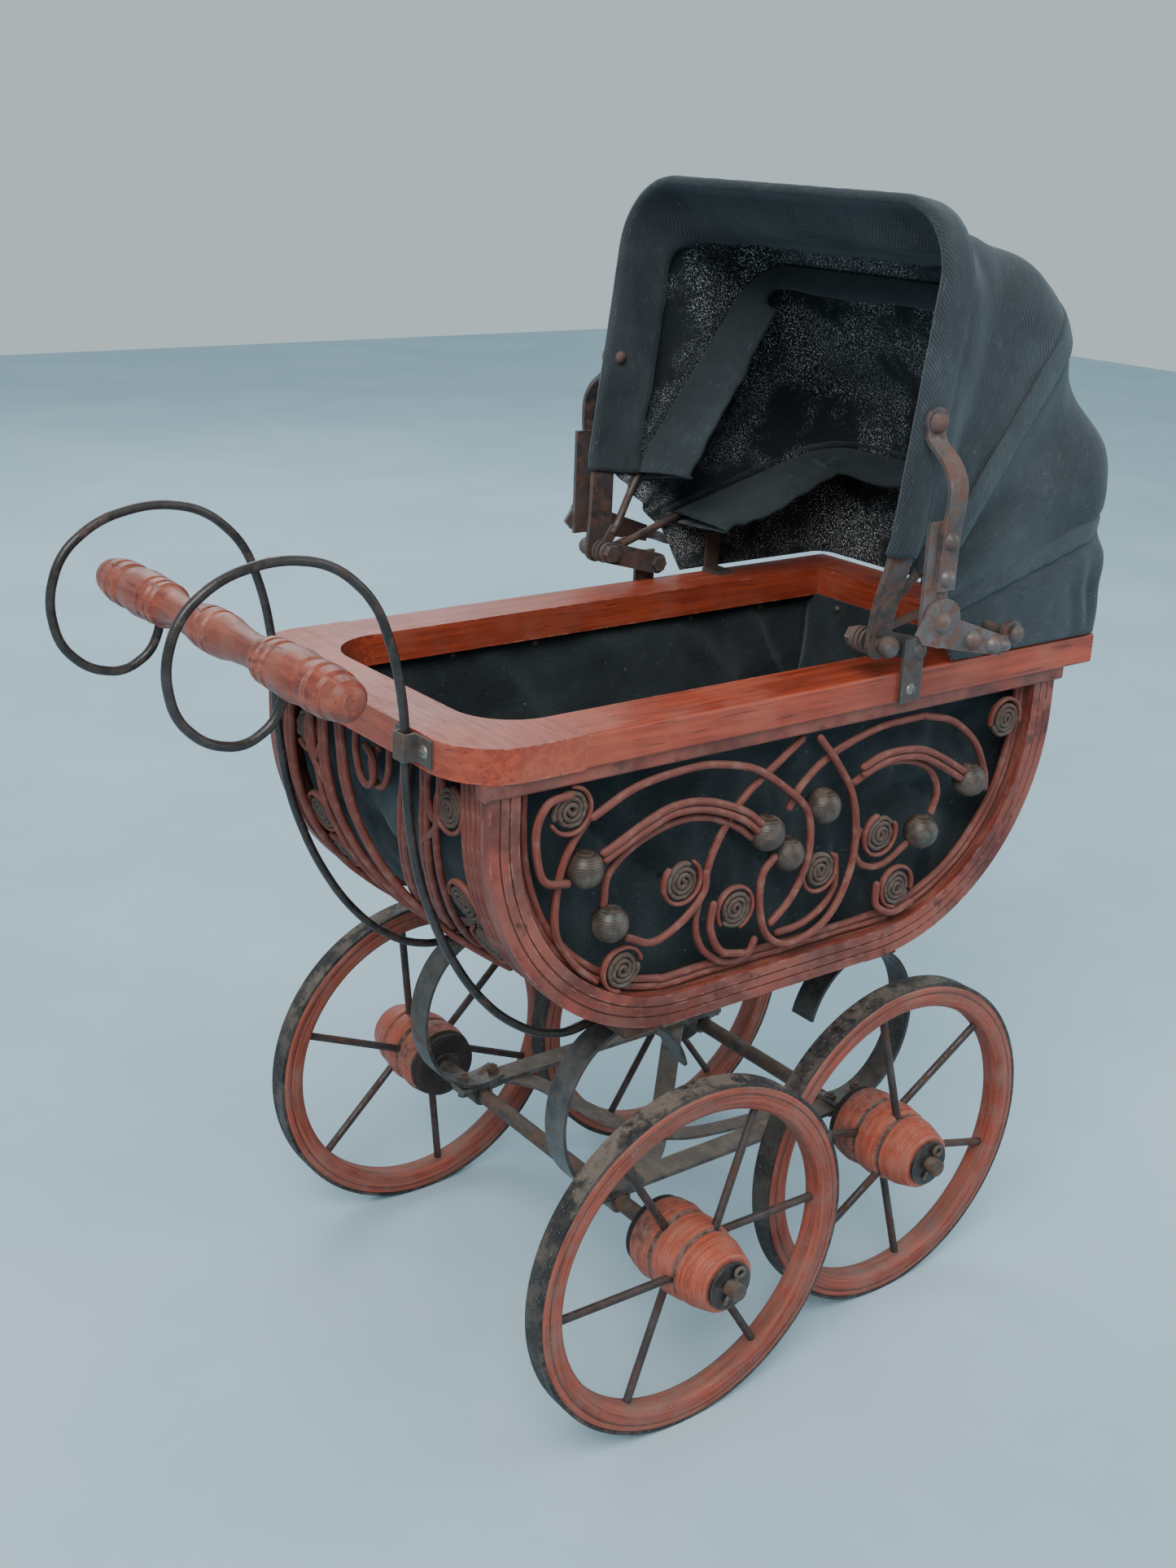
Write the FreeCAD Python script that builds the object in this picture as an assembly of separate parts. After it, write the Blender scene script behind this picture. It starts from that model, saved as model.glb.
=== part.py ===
"""Antique doll's pram: cane tub on C springs, four spoked wheels and a folding hood.

Millimetres.  +X points to the hood end, away from the handle.  +Z is up.
The ground is Z = 0, and X = Y = 0 is the middle of the overall footprint.
"Right" is the -Y side and "left" is the +Y side.
"""
import FreeCAD
import Part
import math
import os
from FreeCAD import Vector as V

# ---------------------------------------------------------------- driving sizes
# Wheels and axles
WHEEL_RADIUS = 97.0
TYRE_THICKNESS = 1.8
RIM_DEPTH = 13.0
RIM_WIDTH = 13.5
HUB_HALF_LENGTH = 29.0
HUB_RADIUS = 22.0
SPOKE_COUNT = 6
SPOKE_RADIUS = 2.2
SPOKE_DISH = 8.0
AXLE_RADIUS = 4.5
RUNNING_CLEARANCE = 0.06
HANDLE_AXLE_X = -26.0
HOOD_AXLE_X = 140.0
HANDLE_TRACK_Y = 130.0
HOOD_TRACK_Y = 104.5
AXLE_Z = WHEEL_RADIUS

# Chassis
SPRING_Y = 66.0
SPRING_WIDTH = 16.0
SPRING_THICKNESS = 2.0
SPRING_HALF_X = 41.0
SPRING_HALF_Z = 49.0
RAIL_WIDTH = 14.0
RAIL_THICKNESS = 2.5
BRACE_WIDTH = 12.0
BRACE_THICKNESS = 2.0
BRACE_DROP = 27.0

# Tub
TUB_LEFT_X = -135.0
TUB_FLOOR_Z = 216.0
HANDLE_END_RADIUS = 118.0
HOOD_END_RADIUS = 121.0
HOOP_TOP_Z = 354.0
HOOP_BAND = 16.0
HOOP_INNER_Y = 96.0
HOOP_OUTER_Y = 104.0
BOARD_THICKNESS = 7.8
LINING_INSET = 8.0
LINING_THICKNESS = 1.5
LINING_HALF_Y = 86.0
CANE_RADIUS = 2.1

# Rim of the tub
RIM_X0 = -149.0
RIM_X1 = 257.0
RIM_HALF_Y = 108.5
RIM_TOP_Z = 378.0
RIM_THICKNESS = 16.5
RIM_BAR = 30.0
RIM_BOTTOM_Z = RIM_TOP_Z - RIM_THICKNESS

# Handle
ROD_RADIUS = 2.2
ROD_Y = 62.0
GRIP_X = -211.0
GRIP_Z = 415.0
GRIP_HALF_LENGTH = 120.5

# Hood
PIVOT_X = 82.0
PIVOT_Z = 398.0
PIVOT_RADIUS = 2.5
FRONT_LEAN = 7.9
MIDDLE_LEAN = 36.5
REAR_LEAN = 75.0
APRON_LEAN = 102.0
FRONT_FOOT_Y = 115.0
FRONT_BOW_Y = 121.0
FRONT_BOW_RADIUS = 205.75
FRONT_CORNER = 36.0
MIDDLE_FOOT_Y = 109.3
MIDDLE_BOW_Y = 117.5
MIDDLE_BOW_RADIUS = 195.0
REAR_FOOT_Y = 106.2
REAR_BOW_Y = 110.0
REAR_BOW_RADIUS = 180.0
ROD_CORNER = 26.0
BOW_STRIP_WIDTH = 15.0
BOW_STRIP_THICKNESS = 2.5
BOW_ROD_RADIUS = 2.25
SHELL = 1.0
STAY_RADIUS_ON_BOW = 108.7
KNEE = (95.5, 413.0)
ANCHOR = (163.5, 396.0)

os.makedirs("parts", exist_ok=True)
nodes = {}
Y_AXIS = V(0, 1, 0)
Z_AXIS = V(0, 0, 1)


# ---------------------------------------------------------------- helpers
def box(x0, x1, y0, y1, z0, z1):
    """Axis-aligned box between two corners."""
    return Part.makeBox(x1 - x0, y1 - y0, z1 - z0, V(x0, y0, z0))


def rod(start, end, radius):
    """Straight round bar from one point to another."""
    direction = end.sub(start)
    return Part.makeCylinder(radius, direction.Length, start, direction)


def fuse(shapes):
    """One solid out of several that touch or overlap."""
    joined = shapes[0].multiFuse(shapes[1:])
    return joined.removeSplitter()


def group(shapes):
    """Separate solids kept together in one node."""
    return Part.makeCompound(shapes)


def mirrored(shape):
    """The same piece on the other side of the pram."""
    return shape.mirror(V(0, 0, 0), Y_AXIS)


def pair(shape):
    """The piece and its mirror image, as a group."""
    return group([shape, mirrored(shape)])


def turned(profile, centre, outward):
    """Body of revolution about a line along Y; profile is (axial, radius) pairs."""
    points = [V(radius, axial, 0) for axial, radius in profile]
    first, last = profile[0], profile[-1]
    points = [V(0, first[0], 0)] + points + [V(0, last[0], 0)]
    outline = Part.makePolygon(points + [points[0]])
    solid = Part.Face(outline).revolve(V(0, 0, 0), Y_AXIS, 360)
    if outward < 0:
        solid = mirrored(solid)
    solid.translate(centre)
    return solid


def rounded_path(points, share=0.45):
    """Straight runs joined by tangent arcs as large as the runs allow."""
    edges = []
    cursor = points[0]
    for before, here, after in zip(points, points[1:], points[2:]):
        run_in = before.sub(here)
        run_out = after.sub(here)
        setback = share * min(run_in.Length, run_out.Length)
        run_in.normalize()
        run_out.normalize()
        start = here.add(run_in * setback)
        end = here.add(run_out * setback)
        half = run_in.getAngle(run_out) / 2
        bisector = run_in.add(run_out)
        bisector.normalize()
        centre = here.add(bisector * (setback / math.cos(half)))
        middle = centre.sub(bisector * (setback * math.tan(half)))
        edges.append(Part.LineSegment(cursor, start).toShape())
        edges.append(Part.Arc(start, middle, end).toShape())
        cursor = end
    edges.append(Part.LineSegment(cursor, points[-1]).toShape())
    return Part.Wire(edges)


def bent_rod(points, radius):
    """Round rod bent along a route."""
    path = rounded_path(points)
    start, heading = points[0], points[1].sub(points[0])
    section = Part.Wire(Part.makeCircle(radius, start, heading))
    return path.makePipeShell([section], True, False)


def bent_strip(points, thickness, width, across):
    """Flat strip bent in one plane; across is the direction of its width."""
    path = rounded_path(points)
    start, heading = points[0], points[1].sub(points[0])
    heading.normalize()
    normal = heading.cross(across)
    half_t = normal * (thickness / 2)
    half_w = across * (width / 2)
    corners = [start + half_t + half_w, start + half_t - half_w,
               start - half_t - half_w, start - half_t + half_w]
    section = Part.makePolygon(corners + [corners[0]])
    return path.makePipeShell([section], True, False)


def side_points(route, y):
    """Route of (x, z) pairs on the right side, at a distance y from the middle."""
    return [V(x, -y, z) for x, z in route]


def lean(shape, degrees):
    """Swing a piece modelled upright over the origin to its lean over the hood pivot."""
    shape = shape.copy()
    shape.rotate(V(0, 0, 0), Y_AXIS, degrees)
    shape.translate(V(PIVOT_X, 0, PIVOT_Z))
    return shape


def dome(centre, direction, radius, height):
    """Rivet head: a ball cut flat where it meets the metal."""
    ball_radius = (radius * radius + height * height) / (2 * height)
    ball = Part.makeSphere(ball_radius, centre - direction * (ball_radius - height))
    keep = Part.makeCylinder(radius + 1, height + 1, centre, direction)
    return ball.common(keep)


# ---------------------------------------------------------------- wheels
def hub_profile():
    """Turned hub from the inner end to the outer end."""
    end = HUB_HALF_LENGTH
    return [(-end, 17.0), (-end + 1, 19.5), (-end + 4, 19.5), (-end + 5.5, 20.8),
            (-16, HUB_RADIUS), (-9, 21.2), (-8, 20.0), (-6.5, 20.0), (-5.5, 21.4),
            (0, HUB_RADIUS), (8, 20.8), (9, 18.8), (11, 18.8), (12, 19.8),
            (17, 19.4), (23, 17.6), (end - 1, 16.0), (end, 14.5)]


def make_wheel(label, x, track, side, phase):
    """Tyre, bent-wood rim, steel spokes and turned hub of one wheel."""
    centre = V(x, side * track, AXLE_Z)
    half = RIM_WIDTH / 2
    rim_outer = WHEEL_RADIUS - TYRE_THICKNESS
    rim_inner = rim_outer - RIM_DEPTH

    def ring(inner, outer, half_width):
        start = V(x, side * track - half_width, AXLE_Z)
        solid = Part.makeCylinder(outer, 2 * half_width, start, Y_AXIS)
        return solid.cut(Part.makeCylinder(inner, 2 * half_width, start, Y_AXIS))

    tyre = ring(rim_outer, WHEEL_RADIUS, half - 0.8)
    rim = ring(rim_inner, rim_outer, half)
    inner_edges = [e for e in rim.Edges if abs(e.Length - 2 * math.pi * rim_inner) < 1]
    rim = rim.makeFillet(4.0, inner_edges)
    outer_edges = [e for e in rim.Edges if abs(e.Length - 2 * math.pi * rim_outer) < 1]
    rim = rim.makeFillet(1.6, outer_edges)
    hub = turned(hub_profile(), centre, side)
    bore = rod(V(x, side * track - 40, AXLE_Z), V(x, side * track + 40, AXLE_Z),
               AXLE_RADIUS + RUNNING_CLEARANCE)
    hub = hub.cut(bore)

    spokes = []
    for index in range(SPOKE_COUNT):
        angle = math.radians(phase + 360 / SPOKE_COUNT * index)
        radial = V(math.cos(angle), 0, math.sin(angle))
        dish = SPOKE_DISH if index % 2 else -SPOKE_DISH
        start = centre + radial * (HUB_RADIUS - 7) + V(0, side * dish, 0)
        end = centre + radial * (rim_inner + 6)
        spokes.append(rod(start, end, SPOKE_RADIUS))
    for spoke in spokes:
        hub = hub.cut(spoke)
        rim = rim.cut(spoke)
    nodes["tyre_" + label] = tyre
    nodes["wheel_rim_" + label] = rim
    nodes["wheel_spokes_" + label] = group(spokes)
    nodes["wheel_hub_" + label] = hub


WHEELS = [("handle_right", HANDLE_AXLE_X, HANDLE_TRACK_Y, -1, 4),
          ("handle_left", HANDLE_AXLE_X, HANDLE_TRACK_Y, 1, 39),
          ("hood_right", HOOD_AXLE_X, HOOD_TRACK_Y, -1, 41),
          ("hood_left", HOOD_AXLE_X, HOOD_TRACK_Y, 1, 4)]
for wheel in WHEELS:
    make_wheel(*wheel)


# ---------------------------------------------------------------- axles
WASHER_THICKNESS = 2.0
WASHER_RADIUS = 12.8
COLLAR_THICKNESS = 1.0
COLLAR_RADIUS = 9.0
WASHER_GAP = 0.15
AXLE_TIP = 7.0
PIN_RADIUS = 1.1


def make_axle(x, track):
    """Axle with a washer and a split pin outside the hub and a collar inside it."""
    washer_y = track + HUB_HALF_LENGTH + WASHER_GAP
    collar_y = track - HUB_HALF_LENGTH - WASHER_GAP
    tip_y = washer_y + WASHER_THICKNESS + AXLE_TIP
    pin_y = washer_y + WASHER_THICKNESS + PIN_RADIUS + 0.3
    axle = rod(V(x, -tip_y, AXLE_Z), V(x, tip_y, AXLE_Z), AXLE_RADIUS)
    washer = rod(V(x, -washer_y, AXLE_Z), V(x, -washer_y - WASHER_THICKNESS, AXLE_Z),
                 WASHER_RADIUS).cut(axle)
    collar = rod(V(x, -collar_y, AXLE_Z), V(x, -collar_y + COLLAR_THICKNESS, AXLE_Z),
                 COLLAR_RADIUS).cut(axle)
    lean_out = V(0.5, 0, 0.87)
    middle = V(x, -pin_y, AXLE_Z)
    shank = rod(middle - lean_out * 9, middle + lean_out * 6, PIN_RADIUS)
    eye = Part.makeTorus(2.6, PIN_RADIUS, middle + lean_out * 8.4, Y_AXIS)
    pin = fuse([shank, eye])
    axle = axle.cut(shank).cut(mirrored(shank))
    return axle, [washer, collar], pin


handle_axle, handle_washers, handle_pin = make_axle(HANDLE_AXLE_X, HANDLE_TRACK_Y)
hood_axle, hood_washers, hood_pin = make_axle(HOOD_AXLE_X, HOOD_TRACK_Y)
washers = handle_washers + hood_washers
nodes["axles"] = group([handle_axle, hood_axle])
nodes["hub_washers"] = group(washers + [mirrored(washer) for washer in washers])
nodes["cotter_pins"] = group([handle_pin, mirrored(handle_pin), hood_pin, mirrored(hood_pin)])


# ---------------------------------------------------------------- springs and chassis
RAIL_Z0 = AXLE_Z + AXLE_RADIUS
SPRING_FOOT_Z = RAIL_Z0 + RAIL_THICKNESS
SPRING_CENTRE_Z = SPRING_FOOT_Z + SPRING_HALF_Z
SPRING_TOP_Z = SPRING_FOOT_Z + 2 * SPRING_HALF_Z
SPRING_TAIL_ANGLE = -72.0
SPRING_FOOT_ANGLE = 199.0


def c_spring(x, outward):
    """C-shaped leaf: from the axle, out and over to the tub, with a free tail."""
    centre = V(x, -SPRING_Y - SPRING_WIDTH / 2, SPRING_CENTRE_Z)

    def arc(offset):
        top = centre + V(0, 0, SPRING_HALF_Z - offset)
        side = centre + V(outward * (SPRING_HALF_X - offset), 0, 0)
        curve = Part.Ellipse(top, side, centre)
        return Part.ArcOfEllipse(curve, math.radians(SPRING_TAIL_ANGLE),
                                 math.radians(SPRING_FOOT_ANGLE)).toShape()

    outer, inner = arc(0), arc(SPRING_THICKNESS)
    ends = [Part.LineSegment(outer.valueAt(parameter), inner.valueAt(parameter)).toShape()
            for parameter in (outer.FirstParameter, outer.LastParameter)]
    outline = Part.Wire(Part.__sortEdges__([outer, ends[0], inner, ends[1]]))
    return Part.Face(outline).extrude(V(0, SPRING_WIDTH, 0))


handle_spring = c_spring(HANDLE_AXLE_X, -1)
hood_spring = c_spring(HOOD_AXLE_X, 1)
RAIL_OVERHANG = 14.0
rail = box(HANDLE_AXLE_X - RAIL_OVERHANG, HOOD_AXLE_X + RAIL_OVERHANG,
           -SPRING_Y - RAIL_WIDTH / 2, -SPRING_Y + RAIL_WIDTH / 2,
           RAIL_Z0, RAIL_Z0 + RAIL_THICKNESS)


def cross_brace(side, drop):
    """Flat strip bowed down from one rail to the opposite one."""
    start = V(HANDLE_AXLE_X + 18, side * SPRING_Y, RAIL_Z0 - BRACE_THICKNESS / 2)
    end = V(HOOD_AXLE_X - 18, -side * SPRING_Y, RAIL_Z0 - BRACE_THICKNESS / 2)
    along = end.sub(start)
    stations = [(0, 0), (0.10, 0), (0.28, 0.62), (0.42, 1), (0.58, 1),
                (0.72, 0.62), (0.90, 0), (1, 0)]
    points = [start + along * share - Z_AXIS * (drop * depth) for share, depth in stations]
    along.normalize()
    return bent_strip(points, BRACE_THICKNESS, BRACE_WIDTH, along.cross(Z_AXIS))


upper_brace = cross_brace(1, BRACE_DROP - BRACE_THICKNESS)
lower_brace = cross_brace(-1, BRACE_DROP)
crossing_x = (HANDLE_AXLE_X + HOOD_AXLE_X) / 2
crossing_z = RAIL_Z0 - BRACE_THICKNESS / 2 - BRACE_DROP
brace_shank = rod(V(crossing_x, 0, crossing_z - 3), V(crossing_x, 0, crossing_z + 5), 2.0)
brace_heads = [dome(V(crossing_x, 0, crossing_z + BRACE_THICKNESS * 1.5), Z_AXIS, 4, 2.4),
               dome(V(crossing_x, 0, crossing_z - BRACE_THICKNESS / 2), -Z_AXIS, 4, 2.4)]
nodes["cross_brace_upper"] = upper_brace.cut(brace_shank)
nodes["cross_brace_lower"] = lower_brace.cut(brace_shank)
brace_rivet = fuse([brace_shank.common(box(
    crossing_x - 10, crossing_x + 10, -10, 10, crossing_z - BRACE_THICKNESS / 2,
    crossing_z + BRACE_THICKNESS * 1.5))] + brace_heads)


def hexagon(centre, direction, flats, height):
    """Hexagonal nut."""
    radius = flats / math.sqrt(3)
    corners = [V(radius * math.cos(math.radians(60 * k)),
                 radius * math.sin(math.radians(60 * k)), 0) for k in range(7)]
    nut = Part.Face(Part.makePolygon(corners)).extrude(V(0, 0, height))
    nut.Placement = FreeCAD.Placement(centre, FreeCAD.Rotation(Z_AXIS, direction))
    return nut


SADDLE_THICKNESS = 2.0
SADDLE_HALF_Y = 6.0
SADDLE_HALF_X = 13.5
SADDLE_BOLT_X = 10.0
SADDLE_BOLT_RADIUS = 1.6


def saddle(x):
    """Strap bent under the axle, with a flange each side against the rail."""
    y0, y1 = -SPRING_Y - SADDLE_HALF_Y, -SPRING_Y + SADDLE_HALF_Y
    outer = AXLE_RADIUS + SADDLE_THICKNESS
    start, end = V(x, y0, AXLE_Z), V(x, y1, AXLE_Z)
    flange = box(x - SADDLE_HALF_X, x + SADDLE_HALF_X, y0, y1, RAIL_Z0 - SADDLE_THICKNESS, RAIL_Z0)
    strap = fuse([flange, rod(start, end, outer),
                  box(x - outer, x + outer, y0, y1, AXLE_Z, RAIL_Z0)])
    strap = strap.cut(rod(start, end, AXLE_RADIUS))
    strap = strap.cut(box(x - AXLE_RADIUS, x + AXLE_RADIUS, y0, y1, AXLE_Z, RAIL_Z0))
    return strap.common(box(x - 20, x + 20, y0, y1, AXLE_Z - 20, RAIL_Z0))


def saddle_bolt(x):
    """Small bolt up through the saddle, the rail and the foot of the spring."""
    low = RAIL_Z0 - SADDLE_THICKNESS - 2.4
    high = SPRING_FOOT_Z + SPRING_THICKNESS + 1.6
    return fuse([hexagon(V(x, -SPRING_Y, low), Z_AXIS, 6, 2.4),
                 rod(V(x, -SPRING_Y, low), V(x, -SPRING_Y, high + 4), SADDLE_BOLT_RADIUS),
                 hexagon(V(x, -SPRING_Y, high), Z_AXIS, 6, 2.6)])


def bearer_bolt(x):
    """Bolt from under the top of the spring up into the bearer."""
    under = SPRING_TOP_Z - SPRING_THICKNESS
    head = hexagon(V(x, -SPRING_Y, under - 3), Z_AXIS, 8, 3)
    return fuse([head, rod(V(x, -SPRING_Y, under - 3), V(x, -SPRING_Y, SPRING_TOP_Z + 9), 2.2)])


def drilled(shape, bolts):
    """The piece with every bolt that meets it cut away."""
    for bolt in bolts:
        if shape.BoundBox.intersect(bolt.BoundBox):
            shape = shape.cut(bolt)
    return shape


BEARER_WIDTH = 24.0
BEARER_HALF_Y = 84.0
axle_xs = (HANDLE_AXLE_X, HOOD_AXLE_X)
bearers = [box(x - BEARER_WIDTH / 2, x + BEARER_WIDTH / 2, -BEARER_HALF_Y, BEARER_HALF_Y,
               SPRING_TOP_Z, TUB_FLOOR_Z) for x in axle_xs]
bolts = [bearer_bolt(x) for x in axle_xs]
bolts += [saddle_bolt(x + offset) for x in axle_xs for offset in (-SADDLE_BOLT_X, SADDLE_BOLT_X)]
bolts += [mirrored(bolt) for bolt in bolts]
saddles = [drilled(saddle(x), bolts) for x in axle_xs]
springs = [drilled(spring, bolts) for spring in (handle_spring, hood_spring)]
nodes["axle_saddles"] = group(saddles + [mirrored(item) for item in saddles])
nodes["c_springs"] = group(springs + [mirrored(spring) for spring in springs])
nodes["chassis_rails"] = pair(drilled(rail, bolts))
nodes["tub_bearers"] = group([drilled(bearer, bolts) for bearer in bearers])
nodes["chassis_bolts"] = group(bolts + [brace_rivet])


# ---------------------------------------------------------------- tub
HANDLE_ARC_X = TUB_LEFT_X + HANDLE_END_RADIUS
HANDLE_ARC_Z = TUB_FLOOR_Z + HANDLE_END_RADIUS
HOOD_ARC_X = 113.0
HOOD_ARC_Z = TUB_FLOOR_Z + HOOD_END_RADIUS
TUB_RIGHT_X = HOOD_ARC_X + HOOD_END_RADIUS


def arc_edge(cx, cz, radius, start, end, y):
    """Arc in a plane of constant y, angles in degrees from +X towards +Z."""
    points = []
    for angle in (start, (start + end) / 2, end):
        a = math.radians(angle)
        points.append(V(cx + radius * math.cos(a), y, cz + radius * math.sin(a)))
    return Part.Arc(*points).toShape()


def boat_face(inset, top, y):
    """Side view of the tub: two rounded ends and a flat bottom, drawn inset."""
    left = arc_edge(HANDLE_ARC_X, HANDLE_ARC_Z, HANDLE_END_RADIUS - inset, 180, 270, y)
    right = arc_edge(HOOD_ARC_X, HOOD_ARC_Z, HOOD_END_RADIUS - inset, 270, 360, y)
    x0, x1 = TUB_LEFT_X + inset, TUB_RIGHT_X - inset
    corners = [V(x0, y, top), V(x0, y, HANDLE_ARC_Z), V(HANDLE_ARC_X, y, TUB_FLOOR_Z + inset),
               V(HOOD_ARC_X, y, TUB_FLOOR_Z + inset), V(x1, y, HOOD_ARC_Z), V(x1, y, top)]
    edges = [Part.makeLine(corners[0], corners[1]), left,
             Part.makeLine(corners[2], corners[3]), right,
             Part.makeLine(corners[4], corners[5]), Part.makeLine(corners[5], corners[0])]
    return Part.Face(Part.Wire(edges))


def boat_band(outer_inset, inner_inset, top, y0, y1):
    """Band that follows the boat outline and is open at the top."""
    depth = V(0, y1 - y0, 0)
    band = boat_face(outer_inset, top, y0).extrude(depth)
    return band.cut(boat_face(inner_inset, top + 5, y0).extrude(depth))


hoop = boat_band(0, HOOP_BAND, HOOP_TOP_Z, -HOOP_OUTER_Y, -HOOP_INNER_Y)
for groove_inset in (5.0, 10.2):
    groove = boat_band(groove_inset, groove_inset + 0.9, HOOP_TOP_Z,
                       -HOOP_OUTER_Y, -HOOP_OUTER_Y + 1.2)
    hoop = hoop.cut(groove)
nodes["side_hoop_right"] = hoop
nodes["side_hoop_left"] = mirrored(hoop)

board = box(HANDLE_ARC_X - 25, HOOD_ARC_X + 39, -HOOP_INNER_Y + 0.2, HOOP_INNER_Y - 0.2,
            TUB_FLOOR_Z, TUB_FLOOR_Z + BOARD_THICKNESS)
nodes["floor_board"] = board

lining_top = RIM_BOTTOM_Z
lining_depth = V(0, 2 * LINING_HALF_Y, 0)
inner_depth = V(0, 2 * (LINING_HALF_Y - LINING_THICKNESS), 0)
lining = boat_face(LINING_INSET, lining_top, -LINING_HALF_Y).extrude(lining_depth)
hollow = boat_face(LINING_INSET + LINING_THICKNESS, lining_top + 5,
                   -LINING_HALF_Y + LINING_THICKNESS).extrude(inner_depth)
nodes["lining"] = lining.cut(hollow)

MOULDING_Y = 106.0
MOULDING_INNER_Y = 97.0
moulding = box(TUB_LEFT_X - 3, TUB_RIGHT_X + 4, -MOULDING_Y, -MOULDING_INNER_Y,
               HOOP_TOP_Z, RIM_BOTTOM_Z)
moulding = moulding.makeFillet(2.0, [e for e in moulding.Edges
                                     if abs(e.CenterOfMass.y + MOULDING_Y) < 0.01
                                     and abs(e.CenterOfMass.z - HOOP_TOP_Z) < 0.01])
nodes["side_mouldings"] = pair(moulding)


# Wooden tray rim: a rounded handle end, two side rails and a square hood end
RIM_SPLIT_X = RIM_X0 + 62.0
RIM_OUTER_CORNER = 32.0
RIM_INNER_CORNER = 30.0
EDGE_ROUND = 1.8


def upright_edges(shape, x, y):
    """Vertical edges at one corner."""
    return [e for e in shape.Edges if abs(e.BoundBox.XMin - x) < 0.01
            and abs(e.BoundBox.XMax - x) < 0.01 and abs(abs(e.CenterOfMass.y) - y) < 0.01
            and e.BoundBox.ZLength > 1]


end_block = box(RIM_X0, RIM_SPLIT_X, -RIM_HALF_Y, RIM_HALF_Y, RIM_BOTTOM_Z, RIM_TOP_Z)
end_block = end_block.makeFillet(RIM_OUTER_CORNER, upright_edges(end_block, RIM_X0, RIM_HALF_Y))
end_gap = box(RIM_X0 + RIM_BAR, RIM_SPLIT_X + 60, -RIM_HALF_Y + RIM_BAR, RIM_HALF_Y - RIM_BAR,
              RIM_BOTTOM_Z - 1, RIM_TOP_Z + 1)
end_gap = end_gap.makeFillet(RIM_INNER_CORNER, upright_edges(
    end_gap, RIM_X0 + RIM_BAR, RIM_HALF_Y - RIM_BAR))
rim_handle_end = end_block.cut(end_gap)
side_rail = box(RIM_SPLIT_X, RIM_X1, -RIM_HALF_Y, -RIM_HALF_Y + RIM_BAR, RIM_BOTTOM_Z, RIM_TOP_Z)
hood_rail = box(RIM_X1 - RIM_BAR, RIM_X1, -RIM_HALF_Y + RIM_BAR, RIM_HALF_Y - RIM_BAR,
                RIM_BOTTOM_Z, RIM_TOP_Z)


def long_edges(shape, minimum):
    """Edges along X or Y of the rim pieces that are worn round."""
    return [e for e in shape.Edges if e.Length > minimum and e.BoundBox.ZLength < 0.01
            and abs(e.CenterOfMass.y) > RIM_HALF_Y - 1]


side_rail = side_rail.makeFillet(EDGE_ROUND, long_edges(side_rail, 100))
nodes["rim_handle_end"] = rim_handle_end
nodes["rim_rail_right"] = side_rail
nodes["rim_rail_left"] = mirrored(side_rail)
nodes["rim_hood_end"] = hood_rail


# ---------------------------------------------------------------- cane scrollwork
OUTER_LAYER_Y = 101.8
INNER_LAYER_Y = 97.3
COIL_RADIUS = 11.5
COIL_THICKNESS = 4.4
BEAD_RADIUS = 9.3

SIDE_COILS = [(-91, 341), (-23, 291), (-57, 253.6), (12, 269), (68, 277), (110, 288),
              (126, 255), (198, 337)]
SIDE_BEADS = [(-81, 310), (-65, 279), (31, 305), (45, 291), (68, 312), (176, 306), (142, 283)]

OUTER_CANES = [
    [(-104, 346), (-113, 335), (-115, 320), (-106, 308), (-94, 306)],
    [(-78, 338), (-54, 350), (-28, 352), (-5, 351), (19, 343), (40, 327), (54, 311)],
    [(-70, 315), (-48, 325), (-31, 329), (-10, 327), (12, 317), (21, 310)],
    [(59, 350), (72, 335), (85, 315), (89, 293), (87, 269), (74, 249), (52, 241)],
    [(92, 328), (109, 331), (131, 330), (149, 322), (165, 312)],
]
INNER_CANES = [
    [(-85, 327), (-96, 305), (-96, 280), (-83, 262), (-73, 253.5)],
    [(51, 351), (34, 340), (14, 325), (-1, 304), (-8, 286), (-12, 266), (-5, 248), (11, 239)],
    [(135, 349), (104, 350), (72, 338), (53, 325), (47, 315)],
    [(141, 348), (160, 342), (179, 326), (186, 306), (187, 296)],
    [(-13, 280), (-24, 270), (-40, 263), (-54, 268)],
    [(96, 292), (95, 280), (102, 271), (115, 269), (131, 276)],
    [(112, 257), (112, 247), (122, 240), (136, 243)],
]


def coil(centre, direction):
    """Flat coil of split cane."""
    return Part.makeCylinder(COIL_RADIUS, COIL_THICKNESS, centre, direction)


def side_scrollwork():
    """Canes of the right side, the coils and beads set among them."""
    coils = [coil(V(x, -OUTER_LAYER_Y + 1.6, z), V(0, -1, 0)) for x, z in SIDE_COILS]
    beads = [Part.makeSphere(BEAD_RADIUS, V(x, -OUTER_LAYER_Y, z)) for x, z in SIDE_BEADS]
    canes = [bent_rod(side_points(route, OUTER_LAYER_Y), CANE_RADIUS)
             for route in OUTER_CANES]
    canes += [bent_rod(side_points(route, INNER_LAYER_Y), CANE_RADIUS)
              for route in INNER_CANES]
    obstacles = coils + beads
    trimmed = []
    for cane in canes:
        for obstacle in obstacles:
            if cane.BoundBox.intersect(obstacle.BoundBox):
                cane = cane.cut(obstacle)
        trimmed.extend(cane.Solids)
    return trimmed, coils, beads


canes, coils, beads = side_scrollwork()
nodes["scrollwork_right"] = group(canes)
nodes["scrollwork_left"] = group([mirrored(cane) for cane in canes])
nodes["wooden_beads"] = group(beads + [mirrored(bead) for bead in beads])

END_CANE_INSET = 3.4
END_CANE_YS = (-90, -46, -30, -8, 8, 30, 46, 90)
END_CANE_SWEEP = 68.0


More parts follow.
